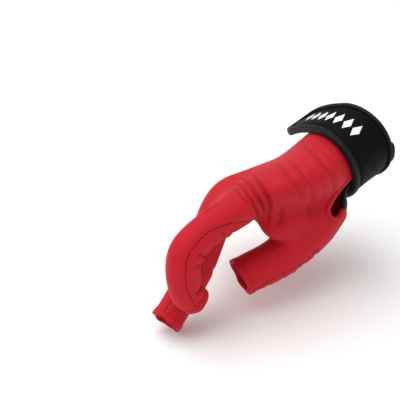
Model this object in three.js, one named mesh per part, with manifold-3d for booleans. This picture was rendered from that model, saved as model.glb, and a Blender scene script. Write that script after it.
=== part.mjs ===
// Billiard glove for the right side, worn form: a red stretch body with open stalls for the thumb,
// the index and the middle finger, one shared opening beside them, a slit at the wrist and a black
// wrist strap. The origin is the middle of the wrist opening. Millimetres, +Z up.

import * as THREE from 'three';
import { mergeVertices } from 'three/addons/utils/BufferGeometryUtils.js';
import Module from 'manifold-3d';

const wasm = await Module();
wasm.setup();

// Driving sizes of the body
const REACH = 84; // wrist opening to the middle of the knuckle row
const CLOTH = 1.4; // wall of the stretch cloth
const GAP = 0.3; // clearance between neighbouring pieces
const WRIST_WIDTH = 48;
const WRIST_DEPTH = 38;
const PALM_WIDTH = 76;
const PALM_DEPTH = 29;
const INDEX_LENGTH = 70.5; // knuckle to open end, along the bends
const INDEX_GIRTH = 17.8; // outside diameter
const MIDDLE_LENGTH = 73.5;
const MIDDLE_GIRTH = 17.5;
const THUMB_LENGTH = 72.5; // base joint to open end
const THUMB_GIRTH = 22;
const PAIR_LENGTH = 9; // collar of the shared opening
const PAIR_WIDTH = 37;
const PAIR_DEPTH = 21;
const WEB_HEIGHT = 30; // web between the thumb and the index stall
const WEB_THICK = 17;
const STALL_ROOT = 20; // how far a stall starts inside the palm
const THUMB_ROOT = 5;

// Driving sizes of the trims and the strap
const HEM_WIDTH = 3.6;
const HEM_THICK = 0.8;
const SLIT_WIDTH = 7.5; // near its round end
const SLIT_NARROW = 4.5; // where it runs under the strap
const SLIT_HEM_WIDTH = 2.6;
const SLIT_REACH = 9.6; // how far the slit's cut goes to each side of its plane
const STRAP_WIDTH = 27;
const STRAP_OVERHANG = 2; // how far the strap reaches past the wrist opening
const STRAP_THICK = 2;
const STRAP_START = -0.4; // sewn end, in turns
const STRAP_LEAVE = 0.21; // where the free end leaves the wrist
const STRAP_TAIL = 38; // straight free end
const TIP_LENGTH = 17; // rounded part of the free end
const TAIL_LIFT = 0.1; // rise of the free end for each millimetre along it
const TAIL_DROOP = 0.006; // how fast it bends back down
const BINDING = 0.6; // thickness of the binding
const BINDING_LAP = 3;
const PATCH_TURN = 0.04; // where the hidden patch starts
const FACING_LENGTH = 13; // black facing beside the slit, past the strap
const FACING_WIDTH = 11;
const FACING_THICK = 0.9;
const DIAMOND_COUNT = 7;
const DIAMOND_LENGTH = 5.2;
const DIAMOND_WIDTH = 8.4;
const DIAMOND_THICK = 0.4;
const DIAMOND_FIRST = -28; // ends of the row, from the line where the strap leaves the wrist
const DIAMOND_LAST = 20;
const DIAMOND_OFFSET = -0.3; // off the strap's middle line

// How finely the forms are drawn
const PALM_SIDES = 24;
const STALL_SIDES = 14;
const STRAP_STEPS = 24;
const TAIL_STRAIGHT_STEPS = 4;
const TAIL_STEPS = 6;

// Directions across the body, towards the thumb side
const WRIST_RADIAL = new THREE.Vector3(0.356, -0.698, 0.621);
const KNUCKLE_RADIAL = new THREE.Vector3(0.049, -0.881, 0.47);
const SLIT_OUTWARD = new THREE.Vector3(0.658, -0.732, 0.148);
const STALL_RADIAL = new THREE.Vector3(0, -0.848, 0.53);
const THUMB_RADIAL = new THREE.Vector3(0.605, -0.422, -0.675);

// Places as shares of REACH from the wrist opening
const PLACES = {
  opening: [0, 0, 0],
  wrist: [-0.066, -0.055, -0.024],
  midPalm: [-0.412, -0.272, -0.148],
  knuckles: [-0.875, -0.423, -0.218],
  indexKnuckle: [-0.8, -0.698, -0.083],
  middleKnuckle: [-0.895, -0.507, -0.161],
  pairKnuckle: [-0.85, -0.227, -0.318],
  thumbBase: [-0.24, -0.268, -0.204],
  webRoot: [-0.452, -0.5, -0.202],
  webTip: [-0.655, -0.672, -0.295],
  slitMouth: [0.19, -0.176, 0.019],
  slitBend: [-0.055, -0.383, -0.073],
  slitEnd: [-0.168, -0.519, -0.242],
};

// Bends of each stall: share of its length, heading from +X and pitch, in degrees
const INDEX_BENDS = [
  { share: 0.56, heading: -140.4, pitch: -19.4 },
  { share: 0.32, heading: -87, pitch: -79.8 },
  { share: 0.12, heading: 10.3, pitch: -54 },
];
const MIDDLE_BENDS = [
  { share: 0.585, heading: -128.2, pitch: -51.3 },
  { share: 0.37, heading: -128.8, pitch: -36.9 },
  { share: 0.045, heading: -131, pitch: -31 },
];
const THUMB_BENDS = [
  { share: 0.58, heading: -129, pitch: -37.8 },
  { share: 0.42, heading: -156.6, pitch: -19.4 },
];
const PAIR_BENDS = [{ share: 1, heading: -140, pitch: -30 }];

// Sections: at is the share of the path, wide and deep are shares of the limb's width and depth, and
// wrist says how far the row takes them from the wrist's sizes. The seam's turn bounds the back panel.
const PALM_SECTIONS = [
  { at: 0, wide: 1, deep: 1, wrist: 1, seam: -0.3 },
  { at: 0.25, wide: 1, deep: 1, wrist: 1, seam: -0.27 },
  { at: 0.4, wide: 0.92, deep: 1.12, wrist: 0.25, seam: -0.24 },
  { at: 0.58, wide: 0.95, deep: 1.06, wrist: 0, seam: -0.2 },
  { at: 0.78, wide: 0.99, deep: 0.98, wrist: 0, seam: -0.08 },
  { at: 0.92, wide: 0.95, deep: 0.84, wrist: 0, seam: 0 },
  { at: 1, wide: 0.78, deep: 0.5, wrist: 0, seam: 0 },
];
const INDEX_SECTIONS = [
  { at: 0, wide: 1.15, deep: 1.15 },
  { at: 0.25, wide: 1.2, deep: 1.12 },
  { at: 0.5, wide: 0.98, deep: 0.98 },
  { at: 0.66, wide: 1.04, deep: 1.02 },
  { at: 0.85, wide: 0.98, deep: 0.98 },
  { at: 1, wide: 0.98, deep: 0.98 },
];
const MIDDLE_SECTIONS = [
  { at: 0, wide: 1.2, deep: 1.2 },
  { at: 0.3, wide: 1.15, deep: 1.15 },
  { at: 0.65, wide: 1.02, deep: 1.02 },
  { at: 0.95, wide: 0.95, deep: 0.95 },
  { at: 1, wide: 1, deep: 1 },
];
const THUMB_SECTIONS = [
  { at: 0, wide: 0.95, deep: 0.95 },
  { at: 0.1, wide: 1.5, deep: 1.35 },
  { at: 0.2, wide: 1.8, deep: 1.5 },
  { at: 0.38, wide: 1.6, deep: 1.35 },
  { at: 0.63, wide: 1.04, deep: 1.04 },
  { at: 1, wide: 0.96, deep: 0.96 },
];
const WEB_SECTIONS = [
  { at: 0, wide: 1, deep: 1 },
  { at: 0.7, wide: 1, deep: 1 },
  { at: 1, wide: 0.55, deep: 0.5 },
];
const PAIR_SECTIONS = [
  { at: 0, wide: 0.9, deep: 0.9 },
  { at: 0.7, wide: 1, deep: 1 },
  { at: 1, wide: 0.96, deep: 0.96 },
];

// Corners of the slit's facing as shares of its length and width, from beside the slit's bend
const FACING_CORNERS = [
  { along: -0.7, across: 0 },
  { along: -0.7, across: 1 },
  { along: 0.5, across: 0.8 },
  { along: 1, across: 0.2 },
  { along: 1, across: 0 },
];

// Folds of the palm: a line from one share and turn to another, rise and breadth as shares of PALM_DEPTH
const PALM_FOLDS = [
  { at: 0.8, turn: 0.17, toAt: 0.68, toTurn: -0.04, rise: 0.05, breadth: 0.1 },
  { at: 0.7, turn: 0.17, toAt: 0.62, toTurn: -0.03, rise: 0.05, breadth: 0.1 },
  { at: 0.55, turn: 0.16, toAt: 0.5, toTurn: 0, rise: 0.03, breadth: 0.13 },
  { at: 0.3, turn: 0.2, toAt: 0.36, toTurn: 0.02, rise: 0.04, breadth: 0.12 },
];

// A value of one column of a table at a share of the path, straight from row to row
function readTable(table, column, at) {
  let row = 0;
  while (row < table.length - 2 && at > table[row + 1].at) {
    row += 1;
  }
  const near = table[row];
  const far = table[row + 1];
  const mix = THREE.MathUtils.clamp((at - near.at) / (far.at - near.at), 0, 1);
  return THREE.MathUtils.lerp(near[column], far[column], mix);
}

// A named place in millimetres
function placeOf(name) {
  return new THREE.Vector3(...PLACES[name]).multiplyScalar(REACH);
}

// Points of a stall from its knuckle through its bends, started inside the palm
function stallPoints(knuckle, bends, length, root = STALL_ROOT) {
  const start = placeOf(knuckle);
  const back = start.clone().normalize().multiplyScalar(-root);
  const points = [start.clone().add(back), start];
  let here = start;
  for (const bend of bends) {
    const heading = THREE.MathUtils.degToRad(bend.heading);
    const pitch = THREE.MathUtils.degToRad(bend.pitch);
    const step = new THREE.Vector3(
      Math.cos(pitch) * Math.cos(heading),
      Math.cos(pitch) * Math.sin(heading),
      Math.sin(pitch),
    );
    here = here.clone().addScaledVector(step, bend.share * length);
    points.push(here);
  }
  return points;
}

// A limb is a smooth path with oval sections round it
function makeLimb(points, sections, width, depth, radials, sides, rings, folds = []) {
  const path = new THREE.CatmullRomCurve3(points, false, 'centripetal');
  path.arcLengthDivisions = 400;
  const length = path.getLength();
  return { path, sections, width, depth, radials, sides, rings, folds, length };
}

// Centre and directions of a limb's section, carried on straight past both ends
function limbFrame(limb, at) {
  const inside = THREE.MathUtils.clamp(at, 0, 1);
  const forward = limb.path.getTangentAt(inside);
  const centre = limb.path.getPointAt(inside);
  centre.addScaledVector(forward, (at - inside) * limb.length);
  const radial = limb.radials[0].clone().lerp(limb.radials[1], inside);
  radial.addScaledVector(forward, -radial.dot(forward)).normalize();
  const dorsal = forward.clone().cross(radial);
  return { centre, forward, radial, dorsal };
}

// How far the folds lift the cloth at a share of the path and a turn
function foldRise(limb, at, turn) {
  const girth = Math.PI * (limb.width + limb.depth) / 2;
  let rise = 0;
  for (const fold of limb.folds) {
    const alongStep = (fold.toAt - fold.at) * limb.length;
    const roundStep = (fold.toTurn - fold.turn) * girth;
    const along = (at - fold.at) * limb.length;
    const round = (turn - Math.round(turn - fold.turn) - fold.turn) * girth;
    const span = alongStep * alongStep + roundStep * roundStep;
    const share = THREE.MathUtils.clamp((along * alongStep + round * roundStep) / span, 0, 1);
    const away = Math.hypot(along - share * alongStep, round - share * roundStep);
    rise += fold.rise * limb.depth * Math.exp(-((away / (fold.breadth * limb.depth)) ** 2));
  }
  return rise;
}

// A point of a limb's outside, or off it by grow
function limbPoint(limb, at, turn, grow = 0) {
  const { centre, radial, dorsal } = limbFrame(limb, at);
  const rise = grow + foldRise(limb, at, turn);
  const wrist = limb.sections[0].wrist ? readTable(limb.sections, 'wrist', at) : 0;
  const wide = THREE.MathUtils.lerp(limb.width, WRIST_WIDTH, wrist);
  const deep = THREE.MathUtils.lerp(limb.depth, WRIST_DEPTH, wrist);
  const halfWide = readTable(limb.sections, 'wide', at) * wide / 2 + rise;
  const halfDeep = readTable(limb.sections, 'deep', at) * deep / 2 + rise;
  const angle = turn * 2 * Math.PI;
  return centre
    .addScaledVector(radial, halfWide * Math.cos(angle))
    .addScaledVector(dorsal, halfDeep * Math.sin(angle));
}

// A closed solid through rings of points, with an end on the first and the last ring: a fan round its
// centre, or the faces given for a hollow section
function sewRings(rings, endFaces) {
  const corners = rings.flat();
  const count = rings[0].length;
  const faces = [];
  for (let ring = 0; ring < rings.length - 1; ring += 1) {
    for (let side = 0; side < count; side += 1) {
      const next = (side + 1) % count;
      const here = ring * count;
      const there = here + count;
      faces.push(here + side, here + next, there + next);
      faces.push(here + side, there + next, there + side);
    }
  }
  for (const last of [false, true]) {
    const base = last ? (rings.length - 1) * count : 0;
    if (endFaces) {
      endFaces.forEach(([a, b, c]) => faces.push(base + a, base + (last ? b : c), base + (last ? c : b)));
    } else {
      const hub = corners.length;
      const centre = new THREE.Vector3();
      (last ? rings.at(-1) : rings[0]).forEach((corner) => centre.addScaledVector(corner, 1 / count));
      corners.push(centre);
      for (let side = 0; side < count; side += 1) {
        const next = (side + 1) % count;
        faces.push(hub, base + (last ? side : next), base + (last ? next : side));
      }
    }
  }
  return solidFrom(corners, faces);
}

// A solid from corners and faces, turned so that its faces point out
function solidFrom(corners, faces) {
  let volume = 0;
  for (let face = 0; face < faces.length; face += 3) {
    const [a, b, c] = [0, 1, 2].map((step) => corners[faces[face + step]]);
    volume += a.dot(b.clone().cross(c));
  }
  const order = volume > 0 ? faces : faces.slice().reverse();
  const mesh = new wasm.Mesh({
    numProp: 3,
    vertProperties: new Float32Array(corners.flatMap((corner) => corner.toArray())),
    triVerts: new Uint32Array(order),
  });
  return new wasm.Manifold(mesh);
}

// A limb as a full solid, or as the dorsal half of one with its flat side dropped by drop. Its rings
// keep their places whatever grow is, and only the end rings move out by the millimetres past the ends.
function limbSolid(limb, { grow = 0, pastStart = 0, pastEnd = 0, half = false, drop = 0 } = {}) {
  const rings = [];
  for (let step = 0; step <= limb.rings; step += 1) {
    let at = step / limb.rings;
    at -= step === 0 ? pastStart / limb.length : 0;
    at += step === limb.rings ? pastEnd / limb.length : 0;
    rings.push(half ? halfRing(limb, at, grow, drop) : fullRing(limb, at, grow));
  }
  return sewRings(rings);
}

function fullRing(limb, at, grow) {
  const ring = [];
  for (let side = 0; side < limb.sides; side += 1) {
    ring.push(limbPoint(limb, at, side / limb.sides, grow));
  }
  return ring;
}

function halfRing(limb, at, grow, drop) {
  const ring = [];
  const seam = limb.sections[0].seam ? readTable(limb.sections, 'seam', at) : 0;
  const last = limb.sides / 2;
  for (let side = 0; side <= last; side += 1) {
    ring.push(limbPoint(limb, at, seam + (0.5 - seam) * side / last, grow));
  }
  const { dorsal } = limbFrame(limb, at);
  ring[0].addScaledVector(dorsal, -drop);
  ring[last].addScaledVector(dorsal, -drop);
  return ring;
}

// The stretch of space round a limb between two shares of its path
function limbZone(limb, from, to) {
  const reach = limb.width / 2;
  return sewRings([fullRing(limb, from, reach), fullRing(limb, to, reach)]);
}

const palm = makeLimb(
  ['opening', 'wrist', 'midPalm', 'knuckles'].map(placeOf),
  PALM_SECTIONS,
  PALM_WIDTH,
  PALM_DEPTH,
  [WRIST_RADIAL, KNUCKLE_RADIAL],
  PALM_SIDES,
  15,
  PALM_FOLDS,
);
const index = makeLimb(
  stallPoints('indexKnuckle', INDEX_BENDS, INDEX_LENGTH),
  INDEX_SECTIONS,
  INDEX_GIRTH,
  INDEX_GIRTH,
  [STALL_RADIAL, STALL_RADIAL],
  STALL_SIDES,
  14,
);
const middle = makeLimb(
  stallPoints('middleKnuckle', MIDDLE_BENDS, MIDDLE_LENGTH),
  MIDDLE_SECTIONS,
  MIDDLE_GIRTH,
  MIDDLE_GIRTH,
  [STALL_RADIAL, STALL_RADIAL],
  STALL_SIDES,
  10,
);
const thumb = makeLimb(
  stallPoints('thumbBase', THUMB_BENDS, THUMB_LENGTH, THUMB_ROOT),
  THUMB_SECTIONS,
  THUMB_GIRTH,
  THUMB_GIRTH,
  [THUMB_RADIAL, THUMB_RADIAL],
  STALL_SIDES,
  10,
);
const pair = makeLimb(
  stallPoints('pairKnuckle', PAIR_BENDS, PAIR_LENGTH),
  PAIR_SECTIONS,
  PAIR_WIDTH,
  PAIR_DEPTH,
  [KNUCKLE_RADIAL, KNUCKLE_RADIAL],
  STALL_SIDES,
  4,
);

const web = makeLimb(
  ['webRoot', 'webTip'].map(placeOf),
  WEB_SECTIONS,
  WEB_HEIGHT,
  WEB_THICK,
  [THUMB_RADIAL, THUMB_RADIAL],
  STALL_SIDES,
  4,
);

// A point of the wrist's surface, along in millimetres from the opening
function wristPoint(along, turn, height) {
  return limbPoint(palm, along / palm.length, turn, height);
}

// A solid that goes right through the wall at the slit, from a flat outline across SLIT_OUTWARD
function slitPrism(outline) {
  const rings = [-SLIT_REACH, SLIT_REACH].map((height) => (
    outline.map((corner) => corner.clone().addScaledVector(SLIT_OUTWARD, height))
  ));
  return sewRings(rings);
}

// A point beside the slit's bend: millimetres on towards its round end, and across to the palm side
function besideSlit(onward, across) {
  const [bend, end] = ['slitBend', 'slitEnd'].map(placeOf);
  const along = end.sub(bend).normalize();
  const aside = SLIT_OUTWARD.clone().cross(along).normalize();
  return bend.addScaledVector(along, onward).addScaledVector(aside, across);
}

// The slit is a drop that runs from past the wrist opening, bends where it leaves the strap and is
// widest round its end
function slitSolid(spread) {
  const length = placeOf('slitEnd').distanceTo(placeOf('slitBend'));
  const half = SLIT_WIDTH / 2 + spread;
  const narrow = SLIT_NARROW / 2 + spread;
  const mouth = placeOf('slitMouth').sub(placeOf('slitBend'));
  const outline = [besideSlit(0, narrow).add(mouth), besideSlit(0, narrow)];
  const steps = 8;
  for (let step = 0; step <= steps; step += 1) {
    const angle = Math.PI * step / steps;
    outline.push(besideSlit(length + half * Math.sin(angle), half * Math.cos(angle)));
  }
  outline.push(besideSlit(0, -narrow), besideSlit(0, -narrow).add(mouth));
  return slitPrism(outline);
}

// The facing's outline beside the slit, spread by a clearance
function facingZone(spread) {
  const near = SLIT_NARROW / 2 + GAP - spread;
  const corners = FACING_CORNERS.map(({ along, across }) => besideSlit(
    along * FACING_LENGTH + Math.sign(along) * spread,
    near + across * FACING_WIDTH + Math.sign(across) * spread,
  ));
  return slitPrism(corners);
}

// A point of the strap: along in turns, then straight on in millimetres past the wrist
function strapPoint(turn, tail, across, height) {
  const along = STRAP_WIDTH / 2 - STRAP_OVERHANG + across;
  const point = wristPoint(along, turn, height);
  if (tail > 0) {
    const nextTurn = 0.002;
    const onward = wristPoint(along, turn + nextTurn, height).sub(point).normalize();
    const outward = wristPoint(along, turn, height + 1).sub(point).normalize();
    point.addScaledVector(onward, tail);
    point.addScaledVector(outward, TAIL_LIFT * tail - TAIL_DROOP * tail * tail);
  }
  return point;
}

// Places along one edge of the strap from its sewn end to its tip: how far round and along the tail,
// how far across, and the direction in from the edge
function edgePlaces() {
  const half = STRAP_WIDTH / 2;
  const places = [];
  for (let step = 0; step <= STRAP_STEPS; step += 1) {
    const turn = STRAP_START + (STRAP_LEAVE - STRAP_START) * step / STRAP_STEPS;
    places.push({ turn, tail: 0, across: half, inTail: 0, inAcross: -1 });
  }
  for (let step = 1; step < TAIL_STRAIGHT_STEPS; step += 1) {
    const tail = (STRAP_TAIL - TIP_LENGTH) * step / TAIL_STRAIGHT_STEPS;
    places.push({ turn: STRAP_LEAVE, tail, across: half, inTail: 0, inAcross: -1 });
  }
  for (let step = 0; step <= TAIL_STEPS; step += 1) {
    const angle = Math.PI / 2 * step / TAIL_STEPS;
    const inward = new THREE.Vector2(-Math.sin(angle) / TIP_LENGTH, -Math.cos(angle) / half).normalize();
    places.push({
      turn: STRAP_LEAVE,
      tail: STRAP_TAIL - TIP_LENGTH + TIP_LENGTH * Math.sin(angle),
      across: half * Math.cos(angle),
      inTail: inward.x,
      inAcross: inward.y,
    });
  }
  return places;
}

// The strap, or a layer of it, between two heights and set in from its edge. Each ring has points
// under the binding's lap and on the middle line, so that the layers bend alike.
function strapSolid(inset, low, high, places = edgePlaces()) {
  const pointAt = (place, side, setIn, height) => {
    const tail = place.tail + place.inTail * setIn;
    const across = Math.max(place.across + place.inAcross * setIn, GAP);
    return strapPoint(place.turn, tail, side * across, height);
  };
  const lap = Math.max(inset + 1, BINDING_LAP);
  return sewRings(places.map((place) => {
    const rowAt = (height) => [
      pointAt(place, -1, inset, height),
      pointAt(place, -1, lap, height),
      strapPoint(place.turn, place.tail + place.inTail * lap, 0, height),
      pointAt(place, 1, lap, height),
      pointAt(place, 1, inset, height),
    ];
    return [...rowAt(low), ...rowAt(high).reverse()];
  }));
}

// The binding, a channel folded over the strap's edge, up one side, round the tip and back
function bindingSolid() {
  const places = edgePlaces();
  const wall = BINDING;
  const section = [
    [0, BINDING_LOW],
    [BINDING_LAP, BINDING_LOW],
    [BINDING_LAP, BINDING_LOW + wall],
    [wall, BINDING_LOW + wall],
    [wall, BINDING_HIGH - wall],
    [BINDING_LAP, BINDING_HIGH - wall],
    [BINDING_LAP, BINDING_HIGH],
    [0, BINDING_HIGH],
  ];
  const ringAt = (place, side) => section.map(([inset, height]) => {
    const tail = place.tail + place.inTail * inset;
    return strapPoint(place.turn, tail, side * (place.across + place.inAcross * inset), height);
  });
  const rings = places.map((place) => ringAt(place, 1));
  rings.push(...places.slice(0, -1).reverse().map((place) => ringAt(place, -1)));
  const endFaces = [[0, 1, 2], [0, 2, 3], [0, 3, 4], [0, 4, 7], [4, 5, 6], [4, 6, 7]];
  return sewRings(rings, endFaces);
}

// Heights of the strap's layers above the cloth
const BINDING_LOW = 2 * GAP;
const STRAP_LOW = BINDING_LOW + BINDING + GAP;
const STRAP_HIGH = STRAP_LOW + STRAP_THICK;
const BINDING_HIGH = STRAP_HIGH + GAP + BINDING;

// Outside and inside of the body, and the dorsal side that the seam line bounds
const stalls = [index, middle, pair, thumb];
const OPEN_PAST = 4;

// All limbs joined as one solid, off their outside by grow and carried on past the open ends by past
function bodySolid(grow, past) {
  let body = limbSolid(palm, { grow, pastStart: past, pastEnd: Math.min(grow, 0) });
  for (const stall of stalls) {
    body = body.add(limbSolid(stall, { grow, pastEnd: past }));
  }
  return body.add(limbSolid(web, { grow, pastEnd: Math.min(grow, 0) }));
}

// The space over the seam line, spread out on every side by the seam's clearance
function dorsalSide(spread) {
  const grow = CLOTH * 2 + spread;
  const past = OPEN_PAST + spread;
  let side = limbSolid(palm, { grow, pastStart: past, pastEnd: spread, half: true, drop: spread });
  for (const limb of stalls) {
    side = side.add(limbSolid(limb, { grow, pastStart: spread, pastEnd: past, half: true, drop: spread }));
  }
  return side;
}

// The largest body of a cut, without the crumbs that a cut leaves
function mainBody(solid) {
  const bodies = solid.decompose();
  return bodies.reduce((best, body) => (body.volume() > best.volume() ? body : best));
}

const materials = {
  red: new THREE.MeshStandardMaterial({ color: 0xb8202c, roughness: 0.62, metalness: 0 }),
  redHem: new THREE.MeshStandardMaterial({ color: 0xc0242f, roughness: 0.6, metalness: 0 }),
  black: new THREE.MeshStandardMaterial({ color: 0x101114, roughness: 0.7, metalness: 0 }),
  binding: new THREE.MeshStandardMaterial({ color: 0x0b0c0e, roughness: 0.45, metalness: 0 }),
  white: new THREE.MeshStandardMaterial({ color: 0xf2f2f0, roughness: 0.5, metalness: 0 }),
};

const glove = new THREE.Group();

// A named mesh from a solid
function addPiece(name, solid, material, group = glove) {
  const { vertProperties, triVerts, numProp } = solid.getMesh();
  const geometry = new THREE.BufferGeometry();
  const places = new Float32Array(vertProperties.length / numProp * 3);
  for (let corner = 0; corner < places.length / 3; corner += 1) {
    places.set(vertProperties.subarray(corner * numProp, corner * numProp + 3), corner * 3);
  }
  geometry.setAttribute('position', new THREE.BufferAttribute(places, 3));
  geometry.setIndex(new THREE.BufferAttribute(new Uint32Array(triVerts), 1));
  const merged = mergeVertices(geometry, 1e-4);
  merged.computeVertexNormals();
  const mesh = new THREE.Mesh(merged, material);
  mesh.name = name;
  group.add(mesh);
}

// Back and palm panels, sewn along the seam line that a narrow gap marks
const slitCut = slitSolid(0);
const shell = bodySolid(0, 0).subtract(bodySolid(-CLOTH, OPEN_PAST)).subtract(slitCut);
addPiece('back_panel', mainBody(shell.intersect(dorsalSide(0))), materials.red);
addPiece('palm_panel', mainBody(shell.subtract(dorsalSide(GAP))), materials.red);

// Hems folded out round the open ends, one folded in at the wrist and one round the slit
const clearOfCloth = bodySolid(GAP, OPEN_PAST);
for (const [name, stall] of Object.entries({ index, middle, thumb, pair })) {
  const zone = limbZone(stall, 1 - HEM_WIDTH / stall.length, 1);
  const hem = limbSolid(stall, { grow: GAP + HEM_THICK }).intersect(zone).subtract(clearOfCloth);
  addPiece(`${name}_hem`, mainBody(hem), materials.redHem);
}

const wristZone = limbZone(palm, 0, HEM_WIDTH / palm.length);
const wristHem = limbSolid(palm, { grow: -CLOTH - GAP })
  .subtract(limbSolid(palm, { grow: -CLOTH - GAP - HEM_THICK, pastStart: OPEN_PAST }))
  .intersect(wristZone);
addPiece('wrist_hem', mainBody(wristHem.subtract(slitCut)), materials.redHem);

const overCloth = bodySolid(GAP + HEM_THICK, 0).subtract(clearOfCloth);
const underStrap = strapSolid(-GAP, -CLOTH, BINDING_HIGH);
const slitHem = overCloth.intersect(slitSolid(SLIT_HEM_WIDTH)).subtract(slitCut).subtract(underStrap);
addPiece('slit_hem', mainBody(slitHem.subtract(facingZone(GAP))), materials.redHem);

// Black facing that runs from the strap down the slit's palm side, on the cloth
const facingLayer = bodySolid(GAP + FACING_THICK, 0).subtract(clearOfCloth);
const facing = facingLayer.intersect(facingZone(0)).subtract(slitCut).subtract(underStrap);
addPiece('slit_facing', mainBody(facing), materials.black);

// Strap and its binding
addPiece('wrist_strap', strapSolid(BINDING + GAP, STRAP_LOW, STRAP_HIGH), materials.black);
addPiece('strap_binding', bindingSolid(), materials.binding);

// Patch that holds the strap, hidden between the strap and the cloth
const patchSteps = 10;
const patchPlaces = [];
for (let step = 0; step <= patchSteps; step += 1) {
  const turn = THREE.MathUtils.lerp(PATCH_TURN, STRAP_LEAVE, step / patchSteps);
  patchPlaces.push({ turn, tail: 0, across: STRAP_WIDTH / 2, inTail: 0, inAcross: -1 });
}
const patchInset = BINDING_LAP + GAP;
const patch = strapSolid(patchInset, BINDING_LOW, STRAP_LOW - GAP, patchPlaces);
addPiece('hook_patch', patch, materials.black);

// A point of the strap, a run past the line where it leaves the wrist or, below zero, back round the wrist
function runPoint(run, across, height) {
  const girth = Math.PI * (WRIST_WIDTH + WRIST_DEPTH) / 2 + 2 * Math.PI * STRAP_HIGH;
  return strapPoint(STRAP_LEAVE + Math.min(run, 0) / girth, Math.max(run, 0), across, height);
}

// Row of plain diamonds along the strap's outside
const diamondRow = new THREE.Group();
for (let count = 0; count < DIAMOND_COUNT; count += 1) {
  const run = THREE.MathUtils.lerp(DIAMOND_FIRST, DIAMOND_LAST, (count + 0.5) / DIAMOND_COUNT);
  const rings = [STRAP_HIGH + GAP, STRAP_HIGH + GAP + DIAMOND_THICK].map((height) => [
    runPoint(run - DIAMOND_LENGTH / 2, DIAMOND_OFFSET, height),
    runPoint(run, DIAMOND_OFFSET - DIAMOND_WIDTH / 2, height),
    runPoint(run + DIAMOND_LENGTH / 2, DIAMOND_OFFSET, height),
    runPoint(run, DIAMOND_OFFSET + DIAMOND_WIDTH / 2, height),
  ]);
  addPiece(`strap_diamond_${count + 1}`, sewRings(rings), materials.white, diamondRow);
}
glove.add(diamondRow);

export default glove;
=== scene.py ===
"""A worn billiard glove: one curled stretch body with open stalls, turned hems and stitched seams, a
drop-shaped slit with a black facing, and a bound strap round the wrist with a row of plain diamonds."""

import math

import bmesh
import bpy
import numpy as np
from bpy.props import FloatProperty, FloatVectorProperty, IntProperty, PointerProperty
from mathutils import Matrix, Vector
from mathutils.bvhtree import BVHTree


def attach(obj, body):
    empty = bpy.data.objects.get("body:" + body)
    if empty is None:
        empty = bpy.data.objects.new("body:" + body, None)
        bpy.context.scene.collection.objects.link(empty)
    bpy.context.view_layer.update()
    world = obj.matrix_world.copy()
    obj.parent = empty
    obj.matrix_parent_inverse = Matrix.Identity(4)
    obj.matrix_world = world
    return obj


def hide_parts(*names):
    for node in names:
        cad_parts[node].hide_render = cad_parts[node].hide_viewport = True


bl_info = {
    "name": "Billiard Glove",
    "version": (1, 0, 0),
    "blender": (4, 5, 0),
    "location": "3D View > Sidebar > Glove",
    "description": "Builds a worn billiard glove with its folds, seams, hems and wrist strap",
    "category": "Add Mesh",
}

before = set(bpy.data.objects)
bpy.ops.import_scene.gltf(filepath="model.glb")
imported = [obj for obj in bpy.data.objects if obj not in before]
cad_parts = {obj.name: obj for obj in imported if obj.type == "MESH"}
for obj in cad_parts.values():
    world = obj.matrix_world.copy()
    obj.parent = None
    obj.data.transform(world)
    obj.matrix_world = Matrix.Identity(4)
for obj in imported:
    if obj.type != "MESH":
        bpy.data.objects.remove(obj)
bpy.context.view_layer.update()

MM = 0.001
BODY = "root"

# Places on the body as shares of its reach from the wrist opening
PLACES = {
    "opening": (0, 0, 0),
    "wrist": (-0.066, -0.055, -0.024),
    "mid_palm": (-0.412, -0.272, -0.148),
    "knuckles": (-0.875, -0.423, -0.218),
    "index_knuckle": (-0.8, -0.698, -0.083),
    "middle_knuckle": (-0.895, -0.507, -0.161),
    "pair_knuckle": (-0.85, -0.227, -0.318),
    "thumb_base": (-0.24, -0.268, -0.204),
    "web_root": (-0.452, -0.5, -0.202),
    "web_tip": (-0.655, -0.672, -0.295),
    "slit_mouth": (0.19, -0.176, 0.019),
    "slit_bend": (-0.055, -0.383, -0.073),
    "slit_end": (-0.168, -0.519, -0.242),
}

# Bends of each stall: share of its length, heading from +X and pitch in degrees
BENDS = {
    "index": ((0.56, -140.4, -19.4), (0.32, -87, -79.8), (0.12, 10.3, -54)),
    "middle": ((0.585, -128.2, -51.3), (0.37, -128.8, -36.9), (0.045, -131, -31)),
    "thumb": ((0.58, -129, -37.8), (0.42, -156.6, -19.4)),
    "pair": ((1, -140, -30),),
}

# Sections: share of the path, width and depth as shares of the limb's, and pull towards the wrist's
SECTIONS = {
    "palm": ((0, 1, 1, 1), (0.25, 1, 1, 1), (0.4, 0.92, 1.12, 0.25), (0.58, 0.95, 1.06, 0),
             (0.78, 0.99, 0.98, 0), (0.92, 0.95, 0.84, 0), (1, 0.78, 0.5, 0)),
    "index": ((0, 1.15, 1.15, 0), (0.25, 1.2, 1.12, 0), (0.5, 0.98, 0.98, 0), (0.66, 1.04, 1.02, 0),
              (0.85, 0.98, 0.98, 0), (1, 0.98, 0.98, 0)),
    "middle": ((0, 1.2, 1.2, 0), (0.3, 1.15, 1.15, 0), (0.65, 1.02, 1.02, 0), (0.95, 0.95, 0.95, 0),
               (1, 1, 1, 0)),
    "thumb": ((0, 0.95, 0.95, 0), (0.1, 1.5, 1.35, 0), (0.2, 1.8, 1.5, 0), (0.38, 1.6, 1.35, 0),
              (0.63, 1.04, 1.04, 0), (1, 0.96, 0.96, 0)),
    "pair": ((0, 0.9, 0.9, 0), (0.7, 1, 1, 0), (1, 0.96, 0.96, 0)),
    "web": ((0, 1, 1, 0), (0.6, 0.95, 0.9, 0), (1, 0.5, 0.4, 0)),
    "saddle": ((0, 1, 1, 0), (0.5, 1, 1, 0), (1, 0.5, 0.5, 0)),
}

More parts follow.
